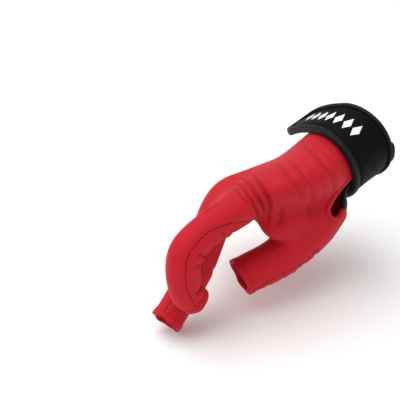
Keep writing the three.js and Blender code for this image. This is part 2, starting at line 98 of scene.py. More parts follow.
# Directions across the body, towards the thumb side
RADIALS = {
    "palm": ((0.356, -0.698, 0.621), (0.049, -0.881, 0.47)),
    "index": ((0, -0.848, 0.53),) * 2,
    "middle": ((0, -0.848, 0.53),) * 2,
    "thumb": ((0.605, -0.422, -0.675),) * 2,
    "pair": ((0.049, -0.881, 0.47),) * 2,
    "web": ((0.605, -0.422, -0.675),) * 2,
    "saddle": ((0, -0.848, 0.53),) * 2,
}
SLIT_OUTWARD = Vector((0.658, -0.732, 0.148)).normalized()

# Cloth stretched between the roots of the index and the middle stall, in millimetres
SADDLE = ((-58.0, -40.0, -8.5), (-71.2, -50.8, -10.4), (-77.9, -57.2, -17.2), (-84.0, -64.0, -26.0))

# Seams that run straight along a stall: limb, share where it starts and ends, and its turn
STRAIGHT_SEAMS = (
    ("index", 0.3, 0.955, 0.5),
    ("middle", 0.3, 0.95, 0.08),
    ("middle", 0.3, 0.95, 0.58),
    ("thumb", 0.45, 0.95, 0.5),
    ("palm", 0.3, 0.98, 0.5),
)

# Seams that wander, as points in millimetres
CURVED_SEAMS = (
    ((-58.0, -57.0, -17.0), (-62.2, -65.5, -12.4), (-66.1, -70.6, -9.4), (-72.7, -74.9, -7.4),
     (-79.6, -78.5, -7.4), (-85.3, -81.8, -8.6), (-91.0, -86.8, -12.3), (-94.8, -90.3, -16.5),
     (-96.0, -92.9, -23.1), (-95.6, -94.3, -33.3), (-93.4, -94.3, -40.0), (-91.2, -93.3, -45.2)),
    ((-25.2, -52.4, -39.2), (-32.6, -56.4, -45.0), (-42.1, -61.5, -47.6), (-50.6, -64.7, -50.9),
     (-57.9, -66.7, -54.8), (-61.5, -67.6, -56.0)),
)

# Gathers across a stall: limb, share, middle turn, turns wide, rise and breadth in millimetres
GATHERS = (
    ("index", 0.62, -0.25, 0.32, -1.1, 1.2),
    ("index", 0.655, -0.25, 0.30, 0.7, 1.4),
    ("index", 0.70, -0.25, 0.30, -0.7, 1.1),
    ("index", 0.88, -0.22, 0.32, -0.9, 1.2),
    ("index", 0.92, -0.22, 0.30, 0.5, 1.3),
    ("index", 0.36, -0.2, 0.22, -0.6, 1.0),
    ("index", 0.40, -0.2, 0.22, 0.4, 1.0),
    ("index", 0.44, -0.2, 0.22, -0.5, 1.0),
    ("index", 0.50, -0.2, 0.22, -0.35, 1.0),
    ("middle", 0.62, -0.2, 0.3, -0.5, 1.5),
    ("middle", 0.82, 0.1, 0.3, -0.25, 1.4),
    ("thumb", 0.52, 0.02, 0.3, -0.45, 1.3),
    ("thumb", 0.60, 0.02, 0.3, -0.4, 1.2),
    ("thumb", 0.66, 0.02, 0.26, 0.35, 1.2),
    ("thumb", 0.74, 0.02, 0.26, -0.3, 1.1),
    ("thumb", 0.84, 0.02, 0.24, -0.3, 1.1),
)

# Folds: depth and breadth of the crease, rise of the rounded shoulders beside it, and points, in millimetres
FOLDS = (
    (1.3, 1.15, 0.55, (
        (-62.9, -37.8, 0.3), (-60.7, -45.5, 3.2), (-58.7, -54.0, 4.7), (-56.5, -60.9, 3.7),
        (-54.3, -63.1, 0.6), (-53.2, -62.2, -4.5), (-52.4, -59.5, -13.0), (-54.2, -58.4, -20.1),
    )),
    (1.2, 1.1, 0.5, (
        (-69.0, -40.9, -1.9), (-65.4, -47.0, 1.1), (-63.9, -55.3, 4.0), (-61.5, -60.3, 2.6),
        (-59.1, -63.5, 0.0), (-57.0, -63.0, -4.6), (-55.7, -59.7, -11.7), (-55.2, -57.6, -19.3),
    )),
    (1.1, 1.0, 0.4, (
        (-73.7, -44.0, -3.3), (-69.2, -50.9, 0.3), (-67.0, -57.9, 3.4), (-64.2, -62.9, 1.9),
        (-61.7, -65.5, -1.7), (-59.6, -65.4, -6.3), (-58.3, -61.0, -13.6), (-56.6, -56.9, -20.3),
    )),
    (0.45, 1.0, 0.15, (
        (-74.5, -50.9, -2.2), (-70.1, -59.2, 2.7), (-67.4, -64.1, 2.1), (-64.2, -66.7, -1.1),
        (-61.5, -66.8, -4.6), (-59.0, -63.1, -11.3),
    )),
    (0.7, 1.9, 0.0, (
        (-46.0, -56.6, -4.3), (-45.9, -57.2, -9.3), (-45.4, -56.4, -13.4), (-46.1, -57.0, -17.2),
        (-49.0, -59.1, -20.2),
    )),
    (0.5, 2.0, 0.3, (
        (-48.8, -34.4, 4.8), (-46.6, -44.5, 8.4), (-44.0, -53.3, 8.8), (-41.1, -57.4, 7.0),
        (-37.8, -59.0, 2.5), (-35.1, -54.0, -6.6),
    )),
    (0.6, 2.0, 0.35, (
        (-44.6, -34.1, 6.2), (-42.3, -38.1, 7.8), (-40.7, -45.0, 9.3), (-37.9, -50.2, 9.3),
        (-35.0, -54.5, 7.3), (-32.4, -55.7, 3.6), (-30.7, -53.9, -2.4), (-29.0, -46.0, -12.9),
    )),
    (0.55, 2.0, 0.4, (
        (-36.0, -8.0, 2.0), (-34.5, -14.2, 4.9), (-32.4, -22.6, 8.8), (-29.9, -33.8, 11.5),
        (-26.7, -41.8, 11.2), (-23.4, -47.1, 8.2), (-20.5, -47.3, 4.0), (-18.0, -44.8, -3.6),
        (-17.4, -39.1, -13.4),
    )),
    (0.35, 1.4, 0.2, (
        (-31.5, -11.0, 8.0), (-30.0, -18.1, 9.8), (-27.5, -25.6, 12.0), (-25.2, -33.6, 12.6),
        (-22.0, -40.4, 11.5), (-18.2, -43.2, 8.3), (-15.7, -43.5, 3.6),
    )),
    (0.35, 1.3, 0.25, (
        (-87.6, -74.5, -4.1), (-85.0, -71.1, -2.7), (-81.9, -68.9, -1.5), (-78.4, -67.2, -0.1),
    )),
    (0.4, 1.2, 0.2, (
        (-71.7, -72.6, -14.5), (-72.5, -74.6, -11.5), (-72.9, -75.2, -10.0),
    )),
    (0.5, 1.2, 0.2, (
        (-76.6, -76.9, -14.3), (-77.6, -77.9, -12.0), (-78.5, -78.8, -9.4),
    )),
)

# Shares of a fold's length over which it rises from its first end and fades to its last
FADE_IN, FADE_OUT = 0.42, 0.15

# How far the skin reaches past its cuts before they are made
PAST_WRIST = 2.4 * MM
PAST_STALL = 1.1 * MM

# How much of a stall's hem lies on the cloth past the cut
UNDER_HEM = 0.7 * MM

# Reach of a cut behind its plane, beyond it and round its limb
CUT_BEHIND, CUT_BEYOND, CUT_ROUND = 2 * MM, 5 * MM, 1.3 * MM

# The index stall's end is drawn in a little, clear of the middle stall
DRAWN_IN = 1.2 * MM
DRAWN_OVER = 5 * MM

Z_FLOOR = -74.2 * MM

# Parts of the body that end in an opening with a hem of its own
STALLS = ("index", "middle", "thumb", "pair")

# The limbs before they are made into one skin: how far they are swollen, and their rows and columns
SWELL = 0.15 * MM
SKIN_ROWS, SKIN_ROWS_SHORT, SKIN_COLUMNS = 60, 20, 56

# Evening out of the skin: weight and rounds all over, and near where limbs join, with the reach of that
ALL_WEIGHT, ALL_ROUNDS = 0.5, 8
JOIN_WEIGHT, JOIN_ROUNDS, JOIN_REACH = 0.65, 90, 7 * MM

# Depth of a dip of the cloth at which its painted shade is full: the cloth is darkened in concave dips and
# creases, where shade falls
CREASE_SHADE_DEPTH = 0.35 * MM

# A hem's section from its seam line over the edge to the inside: share of its width from the edge, and
# height off the cloth as a share of its rise
HEM_SECTION = ((1.0, -0.3), (0.99, 0.35), (0.93, 0.7), (0.83, 0.72), (0.78, 0.45), (0.72, 0.72), (0.5, 1.0),
               (0.25, 0.98), (0.06, 0.75), (-0.03, 0.2), (-0.04, -1.2), (0.03, -2.6), (0.3, -2.95),
               (0.7, -2.9), (1.0, -2.8), (1.02, -2.2))
HEM_STITCH = 4

# Waves of a hem's edge and swellings of its fold: height, how many go round, and where they start
HEM_WAVES = ((0.28 * MM, 4, 0.7), (0.16 * MM, 7, 0.0))
HEM_PUFFS = ((0.16, 5, 1.3), (0.12, 9, 0.0))

# The wrist hem inside the cloth: distance from the opening and depth under the cloth, in millimetres
WRIST_FOLD = ((0.0, 0.0), (0.6, 0.02), (3.4, 0.02), (3.6, 0.3), (3.5, 0.75), (2.9, 0.55), (2.6, 0.75),
              (0.6, 0.8), (0.05, 0.5))
WRIST_PLACES = 180
WRIST_HEM_GAP = 0.35 * MM

# The slit's hem: from the drop's outline outwards and height off the cloth in millimetres, then the same
# from its middle on with the way outwards as a share of its width
SLIT_LIP = ((0.05, -1.5), (-0.15, -0.7), (-0.1, 0.1), (0.3, 0.6), (1.1, 0.75))
SLIT_BORDER = ((0.6, 0.8), (0.72, 0.5), (0.84, 0.68), (0.97, 0.4), (1, -0.15))
SLIT_STITCH = 6
SLIT_SEAT = 1.1 * MM

# How far from the slit's bend cloth is cut, and how far past the slit's outline cloth and wrist hem are cut
SLIT_REACH = 45 * MM
SLIT_CUT, WRIST_HEM_CUT = 0.2 * MM, 0.6 * MM

# Where a line for the cloth by the slit starts above it, and how far it goes
SEEK_FROM, SEEK_REACH = 12 * MM, 30 * MM

# Share of its height that the slit's hem has at its first places and its last ones, under the strap
SLIT_START, SLIT_START_HEIGHT = 13, 0.6
SLIT_LAST_HEIGHTS = (0.95, 0.8, 0.6, 0.45, 0.35, 0.3)

# The facing: its width at shares of its length, and its section as shares of width and thickness
FACING_SHARES = (-0.55, 0.3, 0.8, 0.93, 1.0)
FACING_WIDTHS = (1.0, 0.8, 0.5, 0.4, 0.12)
FACING_SECTION = ((-0.02, -1.9), (-0.07, -0.4), (-0.06, 0.5), (0.08, 0.95), (0.3, 1.05), (0.6, 1.0),
                  (0.85, 0.9), (0.96, 0.6), (1.0, 0.1), (0.9, -0.1))
FACING_UNDER_STRAP = 0.42

# The strap's section in millimetres from its edge, with heights off its underside and off its top
STRAP_UNDER = ((5.4, 0.0), (3.4, 0.0), (1.0, 0.0), (0.85, 0.3))
STRAP_OVER = ((0.85, -0.3), (1.0, 0.0), (3.2, 0.0), (3.8, 0.05), (4.4, 0.1), (5.0, -0.65), (5.6, 0.05),
              (6.4, 0.3), (7.6, 0.2))
STRAP_MIDDLE = (8.6, 0.1)
STRAP_STITCHES, BINDING_STITCHES = ((5.0, -0.55),), ((2.9, 0.25),)

# The binding's section from the strap's top round its edge to the underside, in millimetres from the edge:
# heights off the binding's top, then off its underside, then the way back inside the fold
BINDING_TOP = ((3.3, -0.6), (3.2, -0.05), (2.6, 0.4), (1.6, 0.55), (0.7, 0.2), (0.05, -0.6))
BINDING_LOW = ((0.05, 0.7), (0.5, 0.12), (1.4, -0.02), (3.0, 0.0), (3.0, 0.5), (0.9, 0.6), (0.6, 1.0))
BINDING_BACK = ((0.6, -1.0), (0.9, -0.62))
BINDING_EDGE = -0.15 * MM

# The printed diamonds' underside above the strap's top
PRINT_RISE = 0.16 * MM

# Area light's name, breadth in metres and place
LAMPS = (("key", 1.2, (-0.45, 0.0, 0.95)), ("fill", 0.9, (0.5, -0.9, 0.35)))
LAMP_TARGET = Vector((-0.05, -0.04, -0.02))
CAMERA_PLACE, CAMERA_TILT = (-0.089, -0.4237, 0.2244), 58


def length(name, description, default):
    return FloatProperty(name=name, description=description, default=default, min=0.0, unit="LENGTH")


def share(name, description, default, low=-10.0):
    return FloatProperty(name=name, description=description, default=default, min=low)


def colour(name, description, default):
    return FloatVectorProperty(
        name=name, description=description, default=default, subtype="COLOR", min=0.0, max=1.0
    )


class GloveBodySizes(bpy.types.PropertyGroup):
    """Sizes of the stretch body"""

    reach: length("Reach", "Wrist opening to the knuckle row", 84 * MM)
    cloth: length("Cloth", "Wall of the stretch cloth", 1.4 * MM)
    wrist_width: length("Wrist Width", "Outside width at the wrist", 48 * MM)
    wrist_depth: length("Wrist Depth", "Outside depth at the wrist", 38 * MM)
    palm_width: length("Palm Width", "Outside width of the palm", 76 * MM)
    palm_depth: length("Palm Depth", "Outside depth of the palm", 29 * MM)
    index_length: length("Index Length", "Knuckle to open end along the bends", 70.5 * MM)
    index_girth: length("Index Girth", "Outside diameter", 17.8 * MM)
    middle_length: length("Middle Length", "Knuckle to open end along the bends", 73.5 * MM)
    middle_girth: length("Middle Girth", "Outside diameter", 17.5 * MM)
    thumb_length: length("Thumb Length", "Base joint to open end", 72.5 * MM)
    thumb_girth: length("Thumb Girth", "Outside diameter", 22 * MM)
    pair_length: length("Pair Length", "Collar of the shared opening", 9 * MM)
    pair_width: length("Pair Width", "Width of the shared opening", 37 * MM)
    pair_depth: length("Pair Depth", "Depth of the shared opening", 21 * MM)
    web_height: length("Web Height", "Web between thumb and index stall", 30 * MM)
    web_thick: length("Web Thickness", "Thickness of that web", 17 * MM)
    stall_root: length("Stall Root", "How far a stall starts inside the palm", 20 * MM)
    thumb_root: length("Thumb Root", "How far the thumb starts inside the palm", 5 * MM)
    saddle: length("Saddle", "Fullness between the index and the middle stall", 19.0 * MM)
    grain: length("Grain", "Size of the faces of the cloth", 0.85 * MM)
    fold_depth: share("Fold Depth", "How deep the folds are pressed", 1.15, 0.0)


class GloveTrimSizes(bpy.types.PropertyGroup):
    """Sizes of hems, slit and stitches"""

    hem_width: length("Hem Width", "Width of the turned hems", 3.9 * MM)
    hem_rise: length("Hem Rise", "How far a hem stands off the cloth", 0.55 * MM)
    slit_width: length("Slit Width", "Width near the round end", 7.5 * MM)
    slit_narrow: length("Slit Narrow", "Width where it leaves the strap", 4.5 * MM)
    slit_hem: length("Slit Hem", "Width of the hem round the slit", 3.2 * MM)
    facing_length: length("Facing Length", "Black facing beside the slit", 17.5 * MM)
    facing_width: length("Facing Width", "Width of the facing", 11 * MM)
    facing_rise: length("Facing Rise", "Thickness of the facing", 0.9 * MM)
    stitch_length: length("Stitch Length", "Length of one stitch", 1.6 * MM)
    stitch_pitch: length("Stitch Pitch", "Stitch to stitch", 2.5 * MM)
    stitch_thick: length("Stitch Thickness", "Thickness of the thread", 0.6 * MM)
    seam_depth: length("Seam Depth", "How deep a seam is drawn in", 0.55 * MM)
    seam_breadth: length("Seam Breadth", "Breadth of the dip along a seam", 1.1 * MM)


class GloveStrapSizes(bpy.types.PropertyGroup):
    """Sizes of the wrist strap"""

    width: length("Width", "Width of the strap", 27 * MM)
    overhang: length("Overhang", "How far it reaches past the wrist opening", 2 * MM)
    thick: length("Thickness", "Thickness of the strap", 2 * MM)
    start: share("Start", "Sewn end, in turns round the wrist", -0.4)
    leave: share("Leave", "Where the free end leaves the wrist, in turns", 0.21)
    tail: length("Tail", "Straight free end", 38 * MM)
    tip: length("Tip", "Rounded part of the free end", 17 * MM)
    lift: share("Lift", "Rise of the free end along it", 0.1)
    droop: share("Droop", "How fast it bends back, for each metre", 6.0)
    clearance: length("Clearance", "Gap between layers", 0.3 * MM)
    binding: length("Binding", "Thickness of the binding", 0.6 * MM)
    lap: length("Lap", "How far the binding laps over the strap", 3 * MM)
    tab: length("Tab", "Thickness of the folded tab on the outer edge", 5.6 * MM)
    tab_first: share("Tab First", "First end of the tab, in turns", -0.165)
    tab_last: share("Tab Last", "Last end of the tab, in turns", -0.065)
    patch_turn: share("Patch Turn", "Where the hidden patch starts, in turns", 0.04)
    diamonds: IntProperty(name="Diamonds", description="Diamonds in the row", default=7, min=1)
    diamond_length: length("Diamond Length", "Along the strap", 5.2 * MM)
    diamond_width: length("Diamond Width", "Across the strap", 8.4 * MM)
    diamond_thick: length("Diamond Thickness", "Thickness of the print", 0.25 * MM)
    diamond_first: FloatProperty(
        name="First", description="First end of the row, from where the strap leaves the wrist",
        default=-28 * MM, unit="LENGTH",
    )
    diamond_last: length("Last", "Last end of the row, from where the strap leaves the wrist", 20 * MM)
    diamond_offset: FloatProperty(
        name="Offset", description="Off the strap's middle line", default=-0.3 * MM, unit="LENGTH"
    )


class GloveColours(bpy.types.PropertyGroup):
    """Colours of cloth, thread and strap"""

    red: colour("Red", "Stretch cloth", (0.53, 0.009, 0.02))
    # Deep red: the darker tone of the cloth's mottling, and the painted shade that darkens the stretch cloth
    # in its folds and dips
    red_mottle_and_shade: colour("Deep Red", "Stretch cloth in folds and dips", (0.27, 0.004, 0.01))
    thread: colour("Thread", "Stitches on the red cloth", (0.08, 0.002, 0.004))
    black: colour("Black", "Strap and facing", (0.0026, 0.0026, 0.0032))
    edge: colour("Edge", "Binding of the strap", (0.0022, 0.0022, 0.0028))
    white: colour("White", "Printed diamonds", (0.85, 0.85, 0.84))
    floor: colour("Floor", "Ground under the glove", (0.93, 0.93, 0.93))


class GloveStage(bpy.types.PropertyGroup):
    """Light and camera"""

    sky: share("Sky", "Strength of the light from all round", 0.62, 0.0)
    key: FloatProperty(name="Key", description="Main light over the left", default=11.0, min=0, unit="POWER")
    fill: FloatProperty(name="Fill", description="Light near the camera", default=1.2, min=0, unit="POWER")
    lens: FloatProperty(name="Lens", description="Focal length in millimetres", default=75.0, unit="CAMERA")


def catmull_rom(points, steps=160):
    """Dense points of a centripetal curve through a few."""
    points = [np.array(p, float) for p in points]
    ends = [2 * points[0] - points[1], *points, 2 * points[-1] - points[-2]]
    made = []
    for k in range(len(points) - 1):
        p0, p1, p2, p3 = ends[k:k + 4]
        d0, d1, d2 = (math.sqrt(np.linalg.norm(b - a)) for a, b in ((p0, p1), (p1, p2), (p2, p3)))
        t1 = ((p1 - p0) / d0 - (p2 - p0) / (d0 + d1) + (p2 - p1) / d1) * d1
        t2 = ((p2 - p1) / d1 - (p3 - p1) / (d1 + d2) + (p3 - p2) / d2) * d1
        t = np.linspace(0, 1, steps, endpoint=False)[:, None]
        made.append(p1 + t1 * t + (3 * (p2 - p1) - 2 * t1 - t2) * t**2 + (2 * (p1 - p2) + t1 + t2) * t**3)
    made.append(points[-1][None])
    return np.concatenate(made)


def unit(v):
    """Vectors of length one."""
    return v / np.maximum(np.linalg.norm(v, axis=-1, keepdims=True), 1e-12)


def run_along(line):
    """Length run from a line's start at each of its points."""
    return np.concatenate([[0], np.cumsum(np.linalg.norm(np.diff(line, axis=0), axis=1))])


def read_rows(at, run, rows):
    """Rows of three numbers read between those given at each run."""
    return np.stack([np.interp(at, run, rows[:, k]) for k in range(3)], -1)


class Limb:
    """A smooth path with oval sections round it, read by share of the path and by turn."""

    def __init__(self, name, points, width, depth, wrist):
        self.path = catmull_rom(points)
        run = run_along(self.path)
        self.length = run[-1]
        self.shares = run / run[-1]
        self.tangents = unit(np.gradient(self.path, self.shares, axis=0))
        self.sections = np.array(SECTIONS[name], float)
        self.radials = np.array(RADIALS[name], float)
        self.width, self.depth, self.wrist = width, depth, wrist

    def frame(self, at):
        """Middle, forward, radial and dorsal of the sections at these shares, straight on past the ends."""
        at = np.asarray(at, float)
        inside = np.clip(at, 0, 1)
        forward = unit(read_rows(inside, self.shares, self.tangents))
        middle = read_rows(inside, self.shares, self.path)
        middle = middle + forward * ((at - inside) * self.length)[..., None]
        mix = inside[..., None]
        radial = self.radials[0] * (1 - mix) + self.radials[1] * mix
        radial = unit(radial - forward * (radial * forward).sum(-1, keepdims=True))
        return middle, forward, radial, np.cross(forward, radial)

    def halves(self, at):
        """Half width and half depth of the sections at these shares."""
        shares = self.sections[:, 0]
        wide, deep, pull = (np.interp(at, shares, self.sections[:, k]) for k in (1, 2, 3))
        width = self.width + (self.wrist[0] - self.width) * pull
        depth = self.depth + (self.wrist[1] - self.depth) * pull
        return wide * width / 2, deep * depth / 2

    def points(self, at, turn, grow=0.0):
        """Points of the outside, or off it, each by its own grow."""
        at, turn, grow = np.broadcast_arrays(np.asarray(at, float), np.asarray(turn, float), grow)
        middle, _, radial, dorsal = self.frame(at)
        wide, deep = self.halves(at)
        angle = 2 * math.pi * turn
        across = (wide + grow) * np.cos(angle)
        up = (deep + grow) * np.sin(angle)
        return middle + radial * across[..., None] + dorsal * up[..., None]

    def away(self, spots):
        """Distance of spots in space off the outside."""
        picks = np.linspace(0, 1, 90)
        middle, forward, _, _ = self.frame(picks)
        best = ((spots[:, None, :] - middle[None]) ** 2).sum(-1).argmin(1)
        rel = spots - middle[best]
        at = picks[best] + (rel * forward[best]).sum(-1) / self.length
        middle, _, radial, dorsal = self.frame(at)
        rel = spots - middle
        u, v = (rel * radial).sum(-1), (rel * dorsal).sum(-1)
        wide, deep = self.halves(at)
        radius = np.maximum(np.hypot(u / wide, v / deep), 1e-6)
        off = np.hypot(u, v) * (1 - 1 / radius)
        past = np.maximum(np.maximum(-at, at - 1), 0) * self.length
        return np.where(past > 0, np.hypot(np.maximum(off, 0), past), off)


def place(name, sizes):
    """A named place on the body."""
    return np.array(PLACES[name]) * sizes.reach


def stall_points(name, knuckle, sizes, run, root):
    """Points of a stall from inside the palm through its knuckle and bends."""
    start = place(knuckle, sizes)
    points = [start - unit(start) * root, start]
    for part, heading, pitch in BENDS[name]:
        h, p = math.radians(heading), math.radians(pitch)
        step = np.array((math.cos(p) * math.cos(h), math.cos(p) * math.sin(h), math.sin(p)))
        points.append(points[-1] + step * part * run)
    return points


def make_limbs(s):
    """All limbs of the body by name."""
    wrist = (s.wrist_width, s.wrist_depth)
    trunk = [place(name, s) for name in ("opening", "wrist", "mid_palm", "knuckles")]
    web = [place(name, s) for name in ("web_root", "web_tip")]
    limbs = {"palm": Limb("palm", trunk, s.palm_width, s.palm_depth, wrist)}
    for name, knuckle, run, width, depth, root in (
        ("index", "index_knuckle", s.index_length, s.index_girth, s.index_girth, s.stall_root),
        ("middle", "middle_knuckle", s.middle_length, s.middle_girth, s.middle_girth, s.stall_root),
        ("thumb", "thumb_base", s.thumb_length, s.thumb_girth, s.thumb_girth, s.thumb_root),
        ("pair", "pair_knuckle", s.pair_length, s.pair_width, s.pair_depth, s.stall_root),
    ):
        limbs[name] = Limb(name, stall_points(name, knuckle, s, run, root), width, depth, wrist)
    limbs["web"] = Limb("web", web, s.web_height, s.web_thick, wrist)
    limbs["saddle"] = Limb("saddle", [np.array(p) * MM for p in SADDLE], s.saddle, s.saddle, wrist)
    return limbs


def shape_grid(bm, points):
    """A grid of faces with its corners at points[row, column], sewn into a tube."""
    points = np.concatenate([points, points[:, :1]], axis=1)
    last_row, last_column = points.shape[0] - 1, points.shape[1] - 1
    bm.loops.layers.uv.verify()
    verts = bmesh.ops.create_grid(
        bm, x_segments=last_column, y_segments=last_row, size=0.5, calc_uvs=True
    )["verts"]
    sides = []
    for vert in verts:
        column = round((vert.co.x + 0.5) * last_column)
        row = round((vert.co.y + 0.5) * last_row)
        vert.co = Vector(points[row, column])
        if column in (0, last_column) or row in (0, last_row):
            sides.append(vert)
    bmesh.ops.remove_doubles(bm, verts=sides, dist=1e-6)


def close_ends(bm):
    """Faces over the open ends of tubes."""
    ends = [edge for edge in bm.edges if edge.is_boundary]
    if ends:
        bmesh.ops.holes_fill(bm, edges=ends, sides=0)
        caps = [face for face in bm.faces if len(face.verts) > 4]
        bmesh.ops.triangulate(bm, faces=caps)


def mesh_of(bm, name):
    """A mesh from a bmesh, which is freed."""
    mesh = bpy.data.meshes.new(name)
    bm.to_mesh(mesh)
    bm.free()
    return mesh


def linked(name, data):
    """An object of the scene with its data."""
    thing = bpy.data.objects.new(name, data)
    bpy.context.scene.collection.objects.link(thing)
    return thing


def finish_piece(bm, name, material, nodes, smooth=True):
    """An object from a bmesh, riding on the body and standing for the nodes named."""
    bmesh.ops.recalc_face_normals(bm, faces=bm.faces)
    return piece_from_bmesh(bm, name, material, nodes, smooth)


def piece_from_bmesh(bm, name, material, nodes, smooth=True):
    """An object from a bmesh with its normals as they are."""
    for face in bm.faces:
        face.smooth = smooth
    piece = linked(name, mesh_of(bm, name))
    piece.data.materials.append(material)
    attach(piece, BODY)
    if nodes:
        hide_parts(*nodes)
    return piece


def shell(rows, name, material, nodes):
    """A closed piece over rows of sections."""
    bm = bmesh.new()
    shape_grid(bm, np.asarray(rows))
    close_ends(bm)
    return finish_piece(bm, name, material, nodes)


def surface_tree(mesh):
    """A search tree of a mesh's faces."""
    spots = [v.co.copy() for v in mesh.vertices]
    return BVHTree.FromPolygons(spots, [tuple(p.vertices) for p in mesh.polygons])


def outer_surface():
    """The cloth's outside as a search tree, from the body before its wall is given."""
    return surface_tree(bpy.data.objects["glove_body"].data)


def seat(tree, spot):
    """The place on the cloth nearest to a spot, with the cloth's normal there."""
    return tree.find_nearest(Vector(spot))[:2]


def polyline_reach(spots, line):
    """Distance from spots to a line of points, and the share along it."""
    run = run_along(line)
    best = np.full(len(spots), 1e9)
    along = np.zeros(len(spots))
    for k in range(len(line) - 1):
        a, b = line[k], line[k + 1]
        step = b - a
        t = np.clip((spots - a) @ step / (step @ step), 0, 1)
        away = np.linalg.norm(spots - (a + t[:, None] * step), axis=1)
        near = away < best
        best[near] = away[near]
        along[near] = (run[k] + t[near] * (run[k + 1] - run[k])) / run[-1]
    return best, along


def fold_lift(spots, line, depth, breadth, shoulder):
    """How far a fold moves each spot: a crease along the line with a rounded shoulder on both sides, faded
    out towards its ends."""
    away, along = polyline_reach(spots, line)
    fade = np.clip(np.minimum(along / FADE_IN, (1 - along) / FADE_OUT), 0, 1)
    fade = fade * fade * (3 - 2 * fade)
    crease = -depth * np.exp(-((away / breadth) ** 2))
    raised = shoulder * np.exp(-(((away - 2 * breadth) / (1.1 * breadth)) ** 2))
    return np.where(away < 5 * breadth, (crease + raised) * fade, 0.0)


def relax(spots, edges, weight, rounds):
    """Spots drawn towards the middle of their neighbours, each by its own weight."""
    count = np.bincount(edges.ravel(), minlength=len(spots))
    one, other = edges[:, 0], edges[:, 1]
    for _ in range(rounds):
        total = np.stack([
            np.bincount(one, spots[other, k], len(spots)) + np.bincount(other, spots[one, k], len(spots))
            for k in range(3)
        ], 1)
        spots = spots + (total / count[:, None] - spots) * weight[:, None]
    return spots


def seam_lines(limbs, steps=60):
    """All stitched seams as dense lines near the cloth."""
    straight = [
        limbs[name].points(np.linspace(start, end, steps), turn) for name, start, end, turn in STRAIGHT_SEAMS
    ]
    return straight + [catmull_rom(np.array(seam) * MM, 12) for seam in CURVED_SEAMS]


def gather_line(limbs, name, at, turn, turns, steps=14):
    """A line across a stall."""
    return limbs[name].points(at, np.linspace(turn - turns / 2, turn + turns / 2, steps))


def laid_on(tree, line):
    """A line brought onto a surface."""
    return np.array([seat(tree, spot)[0][:] for spot in line])


def flat_frame(sizes):
    """Origin and axes of the slit's plane: along it to its round end, and across it to the palm side."""
    bend, end = Vector(place("slit_bend", sizes)), Vector(place("slit_end", sizes))
    along = (end - bend).normalized()
    return bend, along, SLIT_OUTWARD.cross(along).normalized()


def beside_slit(sizes, onward, across):
    """A point beside the slit's bend: on towards its round end, and across to the palm side."""
    bend, along, aside = flat_frame(sizes)
    return bend + along * onward + aside * across


def slit_run(sizes):
    """Length of the slit from its bend to its end."""
    return (Vector(place("slit_end", sizes)) - Vector(place("slit_bend", sizes))).length


def slit_mouth(sizes):
    """The way from the slit's bend to its mouth under the strap."""
    return Vector(place("slit_mouth", sizes)) - Vector(place("slit_bend", sizes))


def slit_outline(sizes, trims, spread, steps=20):
    """The drop's outline from the strap round its end and back, spread outwards."""
    run, mouth = slit_run(sizes), slit_mouth(sizes)
    half, narrow = trims.slit_width / 2 + spread, trims.slit_narrow / 2 + spread
    outline = [beside_slit(sizes, 0, narrow) + mouth * t for t in (1.0, 0.75, 0.5, 0.25, 0.1)]
    for t in np.linspace(0, 1, 8, endpoint=False):
        outline.append(beside_slit(sizes, run * t, narrow + (half - narrow) * t))
    for t in np.linspace(0, 1, steps + 1):
        angle = math.pi * t
        outline.append(beside_slit(sizes, run + half * math.sin(angle), half * math.cos(angle)))
    for t in np.linspace(1, 0, 8, endpoint=False)[1:]:
        outline.append(beside_slit(sizes, run * t, -narrow - (half - narrow) * t))
    outline += [beside_slit(sizes, 0, -narrow) + mouth * t for t in (0, 0.1, 0.25, 0.5, 0.75, 1.0)]
    return outline


def by_slit(rel, sizes):
    """Whether an offset from the slit's bend lies on its side of the wrist."""
    return abs(rel.dot(SLIT_OUTWARD)) < sizes.wrist_width / 5


def in_slit(rels, sizes, trims, spread):
    """Which offsets from the slit's bend lie inside its outline, spread outwards."""
    bend, along, across = flat_frame(sizes)
    flat = lambda places: [(rel.dot(along), rel.dot(across)) for rel in places]
    outline = flat([spot - bend for spot in slit_outline(sizes, trims, spread)])
    return inside_outline(np.array(flat(rels)), outline)


def inside_outline(points, outline):
    """Which flat points lie inside a closed outline."""
    x, y = points[:, 0], points[:, 1]
    hit = np.zeros(len(points), bool)
    for (ax, ay), (bx, by) in zip(outline, outline[1:] + outline[:1]):
        crosses = (ay > y) != (by > y)
        if abs(by - ay) > 1e-12:
            hit ^= crosses & (x < (bx - ax) * (y - ay) / (by - ay) + ax)
    return hit


def rows_of(items, field, width, kind=float):
    """A field of all points or edges of a mesh as rows of numbers."""
    flat = np.zeros(len(items) * width, kind)
    items.foreach_get(field, flat)
    return flat.reshape(-1, width)


def set_points(mesh, spots):
    """Moves all points of a mesh."""
    mesh.vertices.foreach_set("co", spots.astype(np.float32).ravel())
    mesh.update()


def joined_limbs(limbs, cuts, grain):
    """All limbs as one skin with even faces, each open end reaching a little past its cut."""
    bm = bmesh.new()
    for name, limb in limbs.items():
        rows = SKIN_ROWS_SHORT if name in ("web", "saddle") else SKIN_ROWS
        at = np.linspace(0, 1, rows)
        if name == "palm":
            at[0] = cuts[name] - PAST_WRIST / limb.length
        elif name in cuts:
            at[-1] = cuts[name] + PAST_STALL / limb.length
        grow = np.full(rows, SWELL)
        if name == "index":
            grow -= DRAWN_IN * np.clip(1 - (at[-1] - at) * limb.length / DRAWN_OVER, 0, 1)
        turns = np.linspace(0, 1, SKIN_COLUMNS, endpoint=False)
        shape_grid(bm, limb.points(at[:, None], turns[None], grow[:, None]))
        close_ends(bm)
    bmesh.ops.recalc_face_normals(bm, faces=bm.faces)
    mesh = mesh_of(bm, "limbs")
    rough = linked("limbs", mesh)
    skin = rough.modifiers.new("skin", "REMESH")
    skin.mode = "VOXEL"
    skin.voxel_size = grain
    made = bpy.data.meshes.new_from_object(rough.evaluated_get(bpy.context.evaluated_depsgraph_get()))
    bpy.data.objects.remove(rough)
    bpy.data.meshes.remove(mesh)
    return made


